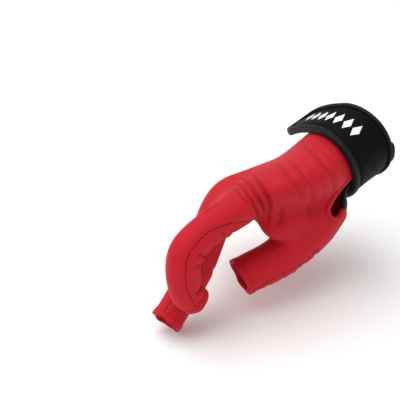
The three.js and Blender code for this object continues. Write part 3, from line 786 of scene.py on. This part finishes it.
def cut_shares(limbs, trims):
    """Where each open end is cut: the wrist at its end, the stalls under their hems."""
    back = trims.hem_width - UNDER_HEM
    return {"palm": 0.0, **{name: 1 - back / limbs[name].length for name in STALLS}}


def cut_end(bm, limbs, name, at):
    """Cuts one open end square, and only the faces of its own limb."""
    limb, sign = limbs[name], -1 if name == "palm" else 1
    middle, forward, radial, dorsal = limb.frame(at)
    outward = forward * sign
    wide, deep = limb.halves(at)

    def near(face):
        rel = np.array(face.calc_center_median()) - middle
        if not -CUT_BEHIND < rel @ outward < CUT_BEYOND:
            return False
        return math.hypot(rel @ radial / (wide + CUT_ROUND), rel @ dorsal / (deep + CUT_ROUND)) < 1

    def is_own(face):
        """Whether a face looks away from this limb's middle, unlike those of the stall against it."""
        rel = np.array(face.calc_center_median()) - middle
        aside = unit(rel - outward * (rel @ outward))
        normal = np.array(face.normal)
        return normal @ aside > 0.15 or normal @ outward > 0.6

    faces = [face for face in bm.faces if near(face)]
    edges = dict.fromkeys(edge for face in faces for edge in face.edges)
    verts = dict.fromkeys(vert for face in faces for vert in face.verts)
    bmesh.ops.bisect_plane(bm, geom=[*faces, *edges, *verts], plane_co=middle, plane_no=outward, dist=1e-5)
    beyond = [
        face for face in bm.faces
        if near(face) and (np.array(face.calc_center_median()) - middle) @ outward > 0
    ]
    if name == "index":
        beyond = [face for face in beyond if is_own(face)]
    bmesh.ops.delete(bm, geom=beyond, context="FACES")


def cloth_lift(spots, tree, limbs, sizes, trims):
    """How far folds, gathers and seams move each spot along its normal."""
    lift = np.zeros(len(spots))
    for depth, breadth, shoulder, points in FOLDS:
        line = laid_on(tree, catmull_rom(np.array(points) * MM, 8))
        lift += sizes.fold_depth * fold_lift(spots, line, depth * MM, breadth * MM, shoulder * MM)
    for name, at, turn, turns, rise, breadth in GATHERS:
        line = laid_on(tree, gather_line(limbs, name, at, turn, turns))
        lift += sizes.fold_depth * fold_lift(spots, line, -rise * MM, breadth * MM, 0.0)
    for line in seam_lines(limbs):
        away, _ = polyline_reach(spots, laid_on(tree, line))
        lift -= trims.seam_depth * np.exp(-((away / trims.seam_breadth) ** 2))
    return lift


class GLOVE_OT_body(bpy.types.Operator):
    """The stretch body with its stalls, folds, seams and openings"""

    bl_idname = "glove.body"
    bl_label = "Body"

    def execute(self, context):
        sizes, trims = context.scene.glove_body, context.scene.glove_trims
        limbs = make_limbs(sizes)
        cuts = cut_shares(limbs, trims)
        mesh = joined_limbs(limbs, cuts, sizes.grain)
        spots = rows_of(mesh.vertices, "co", 3)
        edges = rows_of(mesh.edges, "vertices", 2, np.int32)
        off = np.stack([np.abs(limb.away(spots)) for limb in limbs.values()], 1)
        second = np.sort(off, axis=1)[:, 1]
        junction = np.exp(-((second / JOIN_REACH) ** 2))
        spots = relax(spots, edges, np.full(len(spots), ALL_WEIGHT), ALL_ROUNDS)
        spots = relax(spots, edges, JOIN_WEIGHT * junction, JOIN_ROUNDS)
        set_points(mesh, spots)
        normals = rows_of(mesh.vertex_normals, "vector", 3, np.float32).astype(float)
        lift = cloth_lift(spots, surface_tree(mesh), limbs, sizes, trims)
        spots = spots + normals * lift[:, None]
        set_points(mesh, spots)
        # Painted shade: concave dips and creases are marked here, and the cloth's colour is darkened there,
        # where shade falls
        spread = relax(spots, edges, np.ones(len(spots)), 3) - spots
        hollow = np.clip((spread * normals).sum(1) / CREASE_SHADE_DEPTH + 0.5, 0, 1)
        shade = mesh.attributes.new("hollow", "FLOAT", "POINT")
        shade.data.foreach_set("value", hollow.astype(np.float32))

        bm = bmesh.new()
        bm.from_mesh(mesh)
        for name, at in cuts.items():
            cut_end(bm, limbs, name, at)
        origin = flat_frame(sizes)[0]
        near = [(face, face.calc_center_median() - origin) for face in bm.faces]
        near = [(face, rel) for face, rel in near if rel.length < SLIT_REACH and by_slit(rel, sizes)]
        inside = in_slit([rel for _, rel in near], sizes, trims, SLIT_CUT)
        bmesh.ops.delete(bm, geom=[face for (face, _), gone in zip(near, inside) if gone], context="FACES")
        bmesh.ops.delete(bm, geom=[vert for vert in bm.verts if not vert.link_faces], context="VERTS")
        nodes = ["back_panel", "palm_panel"]
        piece = piece_from_bmesh(bm, "glove_body", cloth(context, "stretch_cloth"), nodes)
        wall = piece.modifiers.new("wall", "SOLIDIFY")
        wall.thickness = sizes.cloth
        wall.offset = -1
        return {"FINISHED"}


def boundary_rings(mesh):
    """The open edges of the body as loops of points, in the same order at each run."""
    bm = bmesh.new()
    bm.from_mesh(mesh)
    left = dict.fromkeys(edge for edge in bm.edges if edge.is_boundary)
    rings = []
    while left:
        edge = next(iter(left))
        del left[edge]
        ring = [edge.verts[0], edge.verts[1]]
        while True:
            onward = next((e for e in ring[-1].link_edges if e in left), None)
            if onward is None:
                break
            del left[onward]
            ring.append(onward.other_vert(ring[-1]))
        if len(ring) > 12:
            rings.append(np.array([v.co[:] for v in ring[:-1]]))
    bm.free()
    return rings


def even_ring(ring, count):
    """A closed line of points at even steps."""
    loop = np.concatenate([ring, ring[:1]])
    run = run_along(loop)
    return read_rows(np.linspace(0, run[-1], count, endpoint=False), run, loop)


def stitch_row(bm, line, normals, trims, sink=0.0):
    """Stitches along a line of points with the surface's normals, one short rounded thread each."""
    line, normals = np.asarray(line), np.asarray(normals)
    run = run_along(line)
    count = max(2, int(run[-1] / trims.stitch_pitch))
    half = trims.stitch_length / 2
    for k in range(count):
        centre = (k + 0.5) * run[-1] / count
        a, b = (Vector(read_rows(at, run, line)) for at in (centre - half, centre + half))
        x = (b - a).normalized()
        z = Vector(read_rows(centre, run, normals))
        z = (z - x * z.dot(x)).normalized()
        turn = Matrix((x, z.cross(x), z)).transposed().to_4x4()
        grow = Matrix.Diagonal((half, trims.stitch_thick / 2, trims.stitch_thick / 2.4, 1))
        spot = Matrix.Translation((a + b) / 2 - z * sink)
        bmesh.ops.create_uvsphere(bm, u_segments=6, v_segments=5, radius=1, matrix=spot @ turn @ grow)


def waves(parts, angle):
    """Sum of the waves round a hem at an angle."""
    return sum(height * math.sin(count * angle + start) for height, count, start in parts)


def hem_points(limb, ring, tree, trims, count=96):
    """Section by section, a hem folded over an open end, and the way outwards at each."""
    middle, outward, _, _ = limb.frame(1.0)
    edge = even_ring(ring, count)
    pairs = np.stack([np.arange(count), (np.arange(count) + 1) % count], 1)
    edge = relax(edge, pairs, np.full(count, 0.5), 6)
    rows, flats = [], []
    for k, spot in enumerate(edge):
        rel = spot - middle
        rel = rel - outward * (rel @ outward)
        flat = unit(rel)
        angle = 2 * math.pi * k / count
        puff, wave = 1 + waves(HEM_PUFFS, angle), waves(HEM_WAVES, angle)
        section = []
        for down, up in HEM_SECTION:
            base = middle + rel - outward * (down * trims.hem_width + wave * (1 - max(down, 0)))
            on, _ = seat(tree, middle + rel - outward * max(down, 0.05) * trims.hem_width)
            drop = (np.array(on) - base) @ flat
            rise = trims.hem_rise * up * (puff if up > 0 else 1)
            section.append(base + flat * (drop + rise))
        rows.append(section)
        flats.append(flat)
    return np.array(rows), np.array(flats)


def wrist_turns(palm, sizes, trims):
    """Turns round the wrist opening from one side of the slit to the other."""
    turns = np.linspace(0, 1, WRIST_PLACES + 1)[:-1]
    origin = flat_frame(sizes)[0]
    rims = [Vector(p) - origin for p in palm.points(0.01, turns)]
    near = np.array([by_slit(rel, sizes) for rel in rims])
    gone = in_slit(rims, sizes, trims, WRIST_HEM_CUT) & near
    first = int(np.argmax(gone & ~np.roll(gone, -1))) + 1
    return turns[(first + np.arange(WRIST_PLACES - int(gone.sum()))) % WRIST_PLACES]


class GLOVE_OT_hems(bpy.types.Operator):
    """Turned hems round the open ends, each with its row of stitches"""

    bl_idname = "glove.hems"
    bl_label = "Hems"

    def execute(self, context):
        sizes, trims = context.scene.glove_body, context.scene.glove_trims
        limbs = make_limbs(sizes)
        tree = outer_surface()
        rings = boundary_rings(bpy.data.objects["glove_body"].data)
        stretch = cloth(context, "stretch_cloth")
        thread = bmesh.new()
        for name in STALLS:
            middle = limbs[name].frame(1.0)[0]
            ring = min(rings, key=lambda r: np.linalg.norm(r.mean(0) - middle))
            rows, flats = hem_points(limbs[name], ring, tree, trims)
            rows, flats = np.concatenate([rows, rows[:1]]), np.concatenate([flats, flats[:1]])
            piece = shell(rows, f"hem_{name}", stretch, [f"{name}_hem"])
            stitch_row(thread, rows[:, HEM_STITCH], flats, trims, 0.05 * MM)
        finish_piece(thread, "hem_stitches", cloth(context, "thread_red"), [])

        palm = limbs["palm"]
        kept = wrist_turns(palm, sizes, trims)
        wall = sizes.cloth + WRIST_HEM_GAP
        rows = np.stack(
            [palm.points(down * MM / palm.length, kept, -wall - deep * MM) for down, deep in WRIST_FOLD], 1
        )
        piece = shell(rows, "hem_wrist", stretch, ["wrist_hem"])
        return {"FINISHED"}


class GLOVE_OT_seams(bpy.types.Operator):
    """Stitches sunk along the seams of the stalls and the palm"""

    bl_idname = "glove.seams"
    bl_label = "Seams"

    def execute(self, context):
        sizes, trims = context.scene.glove_body, context.scene.glove_trims
        limbs = make_limbs(sizes)
        tree = outer_surface()
        thread = bmesh.new()
        for line in seam_lines(limbs):
            seats = [seat(tree, spot) for spot in line]
            stitch_row(thread, [p[:] for p, _ in seats], [n[:] for _, n in seats], trims, 0.06 * MM)
        finish_piece(thread, "seam_stitches", cloth(context, "thread_red"), [])
        return {"FINISHED"}


def on_cloth(tree, spot):
    """Where a line through a spot, out of the slit's plane, meets the cloth, with the cloth's normal."""
    found = tree.ray_cast(spot + SLIT_OUTWARD * SEEK_FROM, -SLIT_OUTWARD, SEEK_REACH)
    return (found[0], found[1]) if found[0] else seat(tree, spot)


def slit_rail(tree, sizes, trims, picks, spread, height, scale):
    """A line beside the slit at a spread and a height off the cloth."""
    points = []
    outer = slit_outline(sizes, trims, SLIT_SEAT)
    asked = slit_outline(sizes, trims, spread)
    for k in picks:
        spot, normal = on_cloth(tree, outer[k] if spread < SLIT_SEAT else asked[k])
        if spread < SLIT_SEAT:
            slide = asked[k] - outer[k]
            spot = spot + slide - normal * slide.dot(normal)
        points.append(spot + normal * height * scale[k])
    return points


def slit_hem_rows(tree, sizes, trims):
    """Sections of the slit's hem from the strap round the slit's end and back."""
    count = len(slit_outline(sizes, trims, 0))
    picks = range(SLIT_START - 1, count - 3)
    scale = np.ones(count)
    scale[:SLIT_START] = SLIT_START_HEIGHT
    scale[count - len(SLIT_LAST_HEIGHTS):] = SLIT_LAST_HEIGHTS
    section = [*SLIT_LIP, *((out * trims.slit_hem / MM, height) for out, height in SLIT_BORDER)]
    rails = [slit_rail(tree, sizes, trims, picks, out * MM, height * MM, scale) for out, height in section]
    return np.array(rails).transpose(1, 0, 2)


def facing_rows(tree, sizes, trims, steps=30):
    """Sections of the facing from under the strap to its end beside the slit."""
    mouth, span = slit_mouth(sizes).normalized(), slit_run(sizes)
    rows = []
    for at in np.linspace(FACING_SHARES[0], FACING_SHARES[-1], steps):
        reach = np.interp(at, FACING_SHARES, FACING_WIDTHS) * trims.facing_width
        run = at * trims.facing_length
        near = (trims.slit_narrow + (trims.slit_width - trims.slit_narrow) * max(run, 0) / span) / 2
        low = FACING_UNDER_STRAP if run <= -2 * MM else 1.0
        row = []
        for out, height in FACING_SECTION:
            across = near + out * reach
            exact, flat = (
                beside_slit(sizes, max(run, 0), aside) - mouth * min(run, 0)
                for aside in (across, max(across, near + 1.0 * MM))
            )
            spot, normal = on_cloth(tree, flat)
            slide = exact - flat
            lift = height * low
            row.append(spot + slide - normal * slide.dot(normal) + normal * lift * trims.facing_rise)
        rows.append([p[:] for p in row])
    return rows


class GLOVE_OT_slit(bpy.types.Operator):
    """Turned hem round the slit and the black facing on its palm side"""

    bl_idname = "glove.slit"
    bl_label = "Slit"

    def execute(self, context):
        sizes, trims = context.scene.glove_body, context.scene.glove_trims
        tree = outer_surface()
        rows = slit_hem_rows(tree, sizes, trims)
        piece = shell(rows, "slit_edge", cloth(context, "stretch_cloth"), ["slit_hem"])
        stitched = rows[:, SLIT_STITCH]
        normals = [seat(tree, spot)[1][:] for spot in stitched]
        thread = bmesh.new()
        stitch_row(thread, stitched, normals, trims, 0.02 * MM)
        finish_piece(thread, "slit_stitches", cloth(context, "thread_red"), [])

        rows = facing_rows(tree, sizes, trims)
        piece = shell(rows, "slit_lining", cloth(context, "binding_tape"), ["slit_facing"])
        return {"FINISHED"}


def strap_points(palm, strap, turn, tail, across, height):
    """Points of the strap: round in turns, then straight on past the wrist along the tail."""
    turn, tail, across, height = np.broadcast_arrays(
        *(np.asarray(v, float) for v in (turn, tail, across, height)))
    at = (strap.width / 2 - strap.overhang + across) / palm.length
    point = palm.points(at, turn, height)
    onward = unit(palm.points(at, turn + 0.002, height) - point)
    outward = unit(palm.points(at, turn, height + MM) - point)
    rise = strap.lift * tail - strap.droop * tail**2
    return point + onward * tail[..., None] + outward * rise[..., None]


def edge_places(strap, around=110, straight=12, end=30):
    """Along one edge from the sewn end to the tip: turn, tail, across, and the way in from the edge."""
    half = strap.width / 2
    turn = np.linspace(strap.start, strap.leave, around)
    turn = np.concatenate([turn, np.full(end + 1 + straight, strap.leave)])
    angle = np.concatenate([np.zeros(around + straight), np.linspace(0, math.pi / 2, end + 1)])
    on = np.concatenate([np.zeros(around), np.linspace(0.06, 0.97, straight), np.ones(end + 1)])
    tail = (strap.tail - strap.tip) * on + strap.tip * np.sin(angle)
    across = half * np.cos(angle)
    inward = unit(np.stack([-np.sin(angle) / strap.tip, -np.cos(angle) / half], 1))
    return turn, tail, across, inward[:, 0], inward[:, 1]


def layer_heights(strap):
    """Height of the binding's underside, the strap's underside and top, and the binding's top."""
    low = 2 * strap.clearance
    strap_low = low + strap.binding + strap.clearance
    strap_high = strap_low + strap.thick
    return low, strap_low, strap_high, strap_high + strap.clearance + strap.binding


def beside_edge(palm, strap, places, side, inset, height, least=0.0):
    """Points along one edge of the strap, set in from it, and kept off the middle line by the least."""
    turn, tail, across, in_tail, in_across = places
    across = side * np.maximum(across + in_across * inset, least)
    return strap_points(palm, strap, turn, tail + in_tail * inset, across, height)


def strap_layer(palm, strap, under, over, centre, places):
    """A layer of the strap as rows of closed sections: insets and heights of the lines under and over it,
    and the inset, low and high of its middle line."""
    inset, low, high = centre
    column = lambda side, i, h: beside_edge(palm, strap, places, side, i, h, 0.05 * MM)
    middle = lambda height: strap_points(palm, strap, places[0], places[1] + places[3] * inset, 0, height)
    columns = [column(-1, i, h) for i, h in under] + [middle(low)]
    columns += [column(1, i, h) for i, h in reversed(under)] + [column(1, i, h) for i, h in over]
    columns += [middle(high)] + [column(-1, i, h) for i, h in reversed(over)]
    return np.stack(columns, 1)


def round_tip(there, back):
    """One line out along one edge of the strap, round its tip and back along the other edge."""
    return np.concatenate([there, back[::-1][1:]])


def at_heights(section, height):
    """A section in millimetres brought to metres and to a height."""
    return [(inset * MM, height + rise * MM) for inset, rise in section]


def tab_rows(palm, strap, low, high):
    """Sections of the folded tab on the strap's outer edge."""
    at = np.linspace(0, 1, 25)
    swell = np.sqrt(np.clip(1 - (2 * at - 1) ** 4, 0.2, 1))
    angle = np.linspace(0, 2 * math.pi, 20, endpoint=False)
    turns = strap.tab_first + (strap.tab_last - strap.tab_first) * at
    return strap_points(
        palm, strap, turns[:, None], 0,
        -strap.width / 2 + 0.6 * MM - strap.tab * 0.48 * swell[:, None] * np.cos(angle)[None],
        (low + high) / 2 + strap.tab * 0.5 * swell[:, None] * np.sin(angle)[None],
    )


class GLOVE_OT_strap(bpy.types.Operator):
    """Wrist strap with its binding, stitched border and hidden patch"""

    bl_idname = "glove.strap"
    bl_label = "Strap"

    def execute(self, context):
        scene = context.scene
        sizes, strap, trims = scene.glove_body, scene.glove_strap, scene.glove_trims
        palm = make_limbs(sizes)["palm"]
        low, strap_low, strap_high, high = layer_heights(strap)
        places = edge_places(strap)
        woven, tape = cloth(context, "strap_cloth"), cloth(context, "binding_tape")
        under, over = at_heights(STRAP_UNDER, strap_low), at_heights(STRAP_OVER, strap_high)
        inset, rise = STRAP_MIDDLE
        centre = (inset * MM, strap_low, strap_high + rise * MM)
        rows = strap_layer(palm, strap, under, over, centre, places)
        piece = shell(rows, "strap", woven, ["wrist_strap"])

        section = at_heights(BINDING_TOP, high) + [(BINDING_EDGE, (high + low) / 2)]
        section += at_heights(BINDING_LOW, low) + at_heights(BINDING_BACK, high)
        sides = [
            np.stack([beside_edge(palm, strap, places, side, i, h) for i, h in section], 1)
            for side in (1, -1)
        ]
        piece = shell(round_tip(*sides), "strap_edge", tape, ["strap_binding"])

        thread = bmesh.new()
        for inset, height in at_heights(STRAP_STITCHES, strap_high) + at_heights(BINDING_STITCHES, high):
            spots = [beside_edge(palm, strap, places, side, inset, height) for side in (1, -1)]
            above = [beside_edge(palm, strap, places, side, inset, height + MM) for side in (1, -1)]
            ups = [unit(up - spot) for up, spot in zip(above, spots)]
            stitch_row(thread, round_tip(*spots), round_tip(*ups), trims)
        finish_piece(thread, "strap_stitches", cloth(context, "thread_black"), [])

        piece = shell(tab_rows(palm, strap, low, high), "strap_tab", tape, [])

        turns = np.linspace(strap.patch_turn, strap.leave, 30)
        flat = (turns, 0 * turns, 0 * turns + strap.width / 2, 0 * turns, 0 * turns - 1)
        top = strap_low - strap.clearance
        edge = strap.lap + strap.clearance
        under = [(edge, low + 0.1 * MM), (edge + 1 * MM, low)]
        over = [(edge, top - 0.1 * MM), (edge + 1 * MM, top)]
        rows = strap_layer(palm, strap, under, over, (strap.width / 2, low, top), flat)
        piece = shell(rows, "patch", woven, ["hook_patch"])
        return {"FINISHED"}


class GLOVE_OT_diamonds(bpy.types.Operator):
    """Row of plain printed diamonds along the strap"""

    bl_idname = "glove.diamonds"
    bl_label = "Diamonds"

    def execute(self, context):
        sizes, strap = context.scene.glove_body, context.scene.glove_strap
        palm = make_limbs(sizes)["palm"]
        high = layer_heights(strap)[2] + PRINT_RISE
        girth = math.pi * (sizes.wrist_width + sizes.wrist_depth) / 2 + 2 * math.pi * high
        for count in range(strap.diamonds):
            first, last = strap.diamond_first, strap.diamond_last
            run = first + (last - first) * (count + 0.5) / strap.diamonds
            bm = bmesh.new()
            verts = bmesh.ops.create_grid(bm, x_segments=8, y_segments=8, size=0.5)["verts"]
            for vert in verts:
                a, b = vert.co.x, vert.co.y
                on = run + (a + b) / 2 * strap.diamond_length
                spot = strap_points(palm, strap, strap.leave + min(on, 0) / girth, max(on, 0),
                                    strap.diamond_offset + (a - b) / 2 * strap.diamond_width, high)
                vert.co = Vector(spot)
            bmesh.ops.recalc_face_normals(bm, faces=bm.faces)
            bmesh.ops.solidify(bm, geom=bm.faces[:], thickness=-strap.diamond_thick)
            name, paint = f"diamond_{count + 1}", cloth(context, "white_print")
            finish_piece(bm, name, paint, [f"strap_{name}"], smooth=False)
        return {"FINISHED"}


class GLOVE_OT_stage(bpy.types.Operator):
    """Floor, light and camera"""

    bl_idname = "glove.stage"
    bl_label = "Stage"

    def execute(self, context):
        stage, colours = context.scene.glove_stage, context.scene.glove_colours
        bm = bmesh.new()
        ground = Matrix.Translation((0, 0, Z_FLOOR))
        bmesh.ops.create_grid(bm, x_segments=1, y_segments=1, size=6.0, matrix=ground)
        floor = linked("floor", mesh_of(bm, "floor"))
        paint = bpy.data.materials.new("floor")
        paint.use_nodes = True
        shader = paint.node_tree.nodes["Principled BSDF"]
        shader.inputs["Base Color"].default_value = (*colours.floor, 1)
        shader.inputs["Roughness"].default_value = 0.9
        floor.data.materials.append(paint)

        sky = bpy.data.worlds.new("sky")
        sky.use_nodes = True
        seen = add_node(sky.node_tree, "ShaderNodeLightPath").outputs["Is Camera Ray"]
        strength = add_node(sky.node_tree, "ShaderNodeMapRange", {"Value": seen, "To Min": stage.sky})
        glow = sky.node_tree.nodes["Background"]
        glow.inputs["Color"].default_value = (1, 1, 1, 1)
        sky.node_tree.links.new(strength.outputs["Result"], glow.inputs["Strength"])
        context.scene.world = sky
        context.scene.view_settings.view_transform = "Standard"

        for name, size, spot in LAMPS:
            light = bpy.data.lights.new(name, "AREA")
            light.energy = getattr(stage, name)
            light.size = size
            lamp = linked(name, light)
            lamp.location = spot
            lamp.rotation_euler = (LAMP_TARGET - Vector(spot)).to_track_quat("-Z", "Y").to_euler()

        lens = bpy.data.cameras.new("camera")
        lens.lens = stage.lens
        camera = linked("camera", lens)
        camera.location = CAMERA_PLACE
        camera.rotation_euler = (math.radians(CAMERA_TILT), 0, 0)
        context.scene.camera = camera
        return {"FINISHED"}


def add_node(tree, kind, inputs=None, **settings):
    """A node with its settings, and with a link or a value for each input named."""
    node = tree.nodes.new(kind)
    for name, value in settings.items():
        setattr(node, name, value)
    for name, value in (inputs or {}).items():
        if isinstance(value, bpy.types.NodeSocket):
            tree.links.new(value, node.inputs[name])
        else:
            node.inputs[name].default_value = value
    return node


# Sockets of the grain: name, way, and kind
GRAIN_SOCKETS = (
    ("Vector", "INPUT", "NodeSocketVector"), ("Colour", "INPUT", "NodeSocketColor"),
    ("Deep Colour", "INPUT", "NodeSocketColor"), ("Hollow", "INPUT", "NodeSocketFloat"),
    ("Cells", "INPUT", "NodeSocketFloat"), ("Mottle", "INPUT", "NodeSocketFloat"),
    ("Colour", "OUTPUT", "NodeSocketColor"), ("Roughness", "OUTPUT", "NodeSocketFloat"),
    ("Height", "OUTPUT", "NodeSocketFloat"),
)


def cloth_grain_group():
    """Grain of a cloth: a tone, a roughness and a height from fine cells and soft mottling, with painted
    shade from the dips added to the tone's darkening.
    """
    if "cloth_grain" in bpy.data.node_groups:
        return bpy.data.node_groups["cloth_grain"]
    group = bpy.data.node_groups.new("cloth_grain", "ShaderNodeTree")
    for name, way, kind in GRAIN_SOCKETS:
        group.interface.new_socket(name, in_out=way, socket_type=kind)
    given = group.nodes.new("NodeGroupInput").outputs
    made = group.nodes.new("NodeGroupOutput").inputs
    cells = add_node(group, "ShaderNodeTexVoronoi", {"Vector": given["Vector"], "Scale": given["Cells"]},
                     feature="SMOOTH_F1").outputs["Distance"]
    mottle = add_node(group, "ShaderNodeTexNoise", {"Vector": given["Vector"], "Scale": 60, "Detail": 4})
    spread = add_node(group, "ShaderNodeMath", {0: mottle.outputs["Fac"], 1: given["Mottle"]},
                      operation="MULTIPLY")
    depth = add_node(group, "ShaderNodeMath", {0: cells, 1: 0.35, 2: spread.outputs[0]},
                     operation="MULTIPLY_ADD")
    # Painted shade: the shade from the body's dips and creases adds to the mottling and draws the tone
    # towards the deep colour
    dip = add_node(group, "ShaderNodeMath", {0: depth.outputs[0], 1: given["Hollow"]},
                   operation="ADD", use_clamp=True)
    blend = {"Factor": dip.outputs[0], "A": given["Colour"], "B": given["Deep Colour"]}
    mix = add_node(group, "ShaderNodeMix", blend, data_type="RGBA")
    rough = add_node(group, "ShaderNodeMapRange", {"To Min": 0.5, "To Max": 0.75, "Value": cells})
    group.links.new(mix.outputs["Result"], made["Colour"])
    group.links.new(rough.outputs["Result"], made["Roughness"])
    group.links.new(cells, made["Height"])
    return group


# Cloths: colour, deep colour (the mottling's darker tone, and on the stretch cloth also its painted shade in
# creases) and its strength, cells, mottle, bump, sheen and its tint, and gloss
CLOTHS = {
    "stretch_cloth": ("red", "red_mottle_and_shade", 1, 2600, 0.1, 0.35, 0.18, (1.0, 0.25, 0.3), 0.14),
    "strap_cloth": ("black", "edge", 1, 1800, 0.3, 0.5, 0.01, (0.6, 0.6, 0.65), 0.07),
    "binding_tape": ("edge", "black", 1, 1400, 0.3, 0.5, 0.03, (0.6, 0.6, 0.65), 0.22),
    "thread_red": ("thread", "red_mottle_and_shade", 1, 4000, 0.3, 0.4, 0.05, (1.0, 0.4, 0.4), 0.12),
    "thread_black": ("black", "edge", 1, 4000, 0.3, 0.4, 0.05, (0.6, 0.6, 0.65), 0.25),
    "white_print": ("white", "white", 0.8, 2600, 0.15, 0.3, 0.0, (1, 1, 1), 0.3),
}


def cloth(context, name):
    """A cloth material with its grain, sheen and bump. The stretch cloth is darkened towards its deep colour
    in its dips and creases as painted shade.
    """
    if name in bpy.data.materials:
        return bpy.data.materials[name]
    colour_name, deep_name, strength, cells, mottle, bump, sheen, tint, gloss = CLOTHS[name]
    colours = context.scene.glove_colours
    deep = [value * strength for value in getattr(colours, deep_name)]
    made = bpy.data.materials.new(name)
    made.use_nodes = True
    tree = made.node_tree
    shader = tree.nodes["Principled BSDF"]
    where = add_node(tree, "ShaderNodeTexCoord").outputs["Object"]
    grain = add_node(tree, "ShaderNodeGroup", {
        "Vector": where, "Colour": (*getattr(colours, colour_name), 1), "Deep Colour": (*deep, 1),
        "Cells": cells, "Mottle": mottle,
    }, node_tree=cloth_grain_group())
    if name == "stretch_cloth":
        # Painted shade: the stretch cloth is darkened towards its deep red in its dips and creases, where
        # shade falls
        dips = add_node(tree, "ShaderNodeAttribute", attribute_name="hollow").outputs["Fac"]
        levels = add_node(tree, "ShaderNodeMapRange",
                          {"Value": dips, "From Min": 0.45, "From Max": 1.0, "To Max": 0.55})
        tree.links.new(levels.outputs["Result"], grain.inputs["Hollow"])
    relief = add_node(tree, "ShaderNodeBump",
                      {"Strength": bump, "Distance": 0.0001, "Height": grain.outputs["Height"]})
    tree.links.new(grain.outputs["Colour"], shader.inputs["Base Color"])
    tree.links.new(grain.outputs["Roughness"], shader.inputs["Roughness"])
    tree.links.new(relief.outputs["Normal"], shader.inputs["Normal"])
    shader.inputs["Sheen Weight"].default_value = sheen
    shader.inputs["Sheen Roughness"].default_value = 0.45
    shader.inputs["Sheen Tint"].default_value = (*tint, 1)
    shader.inputs["Specular IOR Level"].default_value = gloss
    return made


class GLOVE_PT_pieces(bpy.types.Panel):
    """Lists the glove's pieces and sizes"""

    bl_label = "Billiard Glove"
    bl_space_type = "VIEW_3D"
    bl_region_type = "UI"
    bl_category = "Glove"

    def draw(self, context):
        for operator in OPERATORS:
            self.layout.operator(operator.bl_idname)
        for group in GROUPS:
            box = self.layout.box()
            for name in getattr(context.scene, group).bl_rna.properties.keys():
                if name not in ("rna_type", "name"):
                    box.prop(getattr(context.scene, group), name)


GROUPS = {
    "glove_body": GloveBodySizes,
    "glove_trims": GloveTrimSizes,
    "glove_strap": GloveStrapSizes,
    "glove_colours": GloveColours,
    "glove_stage": GloveStage,
}
OPERATORS = (GLOVE_OT_body, GLOVE_OT_hems, GLOVE_OT_seams, GLOVE_OT_slit, GLOVE_OT_strap,
             GLOVE_OT_diamonds, GLOVE_OT_stage)


def register():
    for item in (*GROUPS.values(), *OPERATORS, GLOVE_PT_pieces):
        bpy.utils.register_class(item)
    for name, group in GROUPS.items():
        setattr(bpy.types.Scene, name, PointerProperty(type=group))


def unregister():
    for name in GROUPS:
        delattr(bpy.types.Scene, name)
    for item in reversed((*GROUPS.values(), *OPERATORS, GLOVE_PT_pieces)):
        bpy.utils.unregister_class(item)


def main():
    register()
    for operator in OPERATORS:
        area, name = operator.bl_idname.split(".")
        getattr(getattr(bpy.ops, area), name)()


if __name__ == "__main__":
    main()
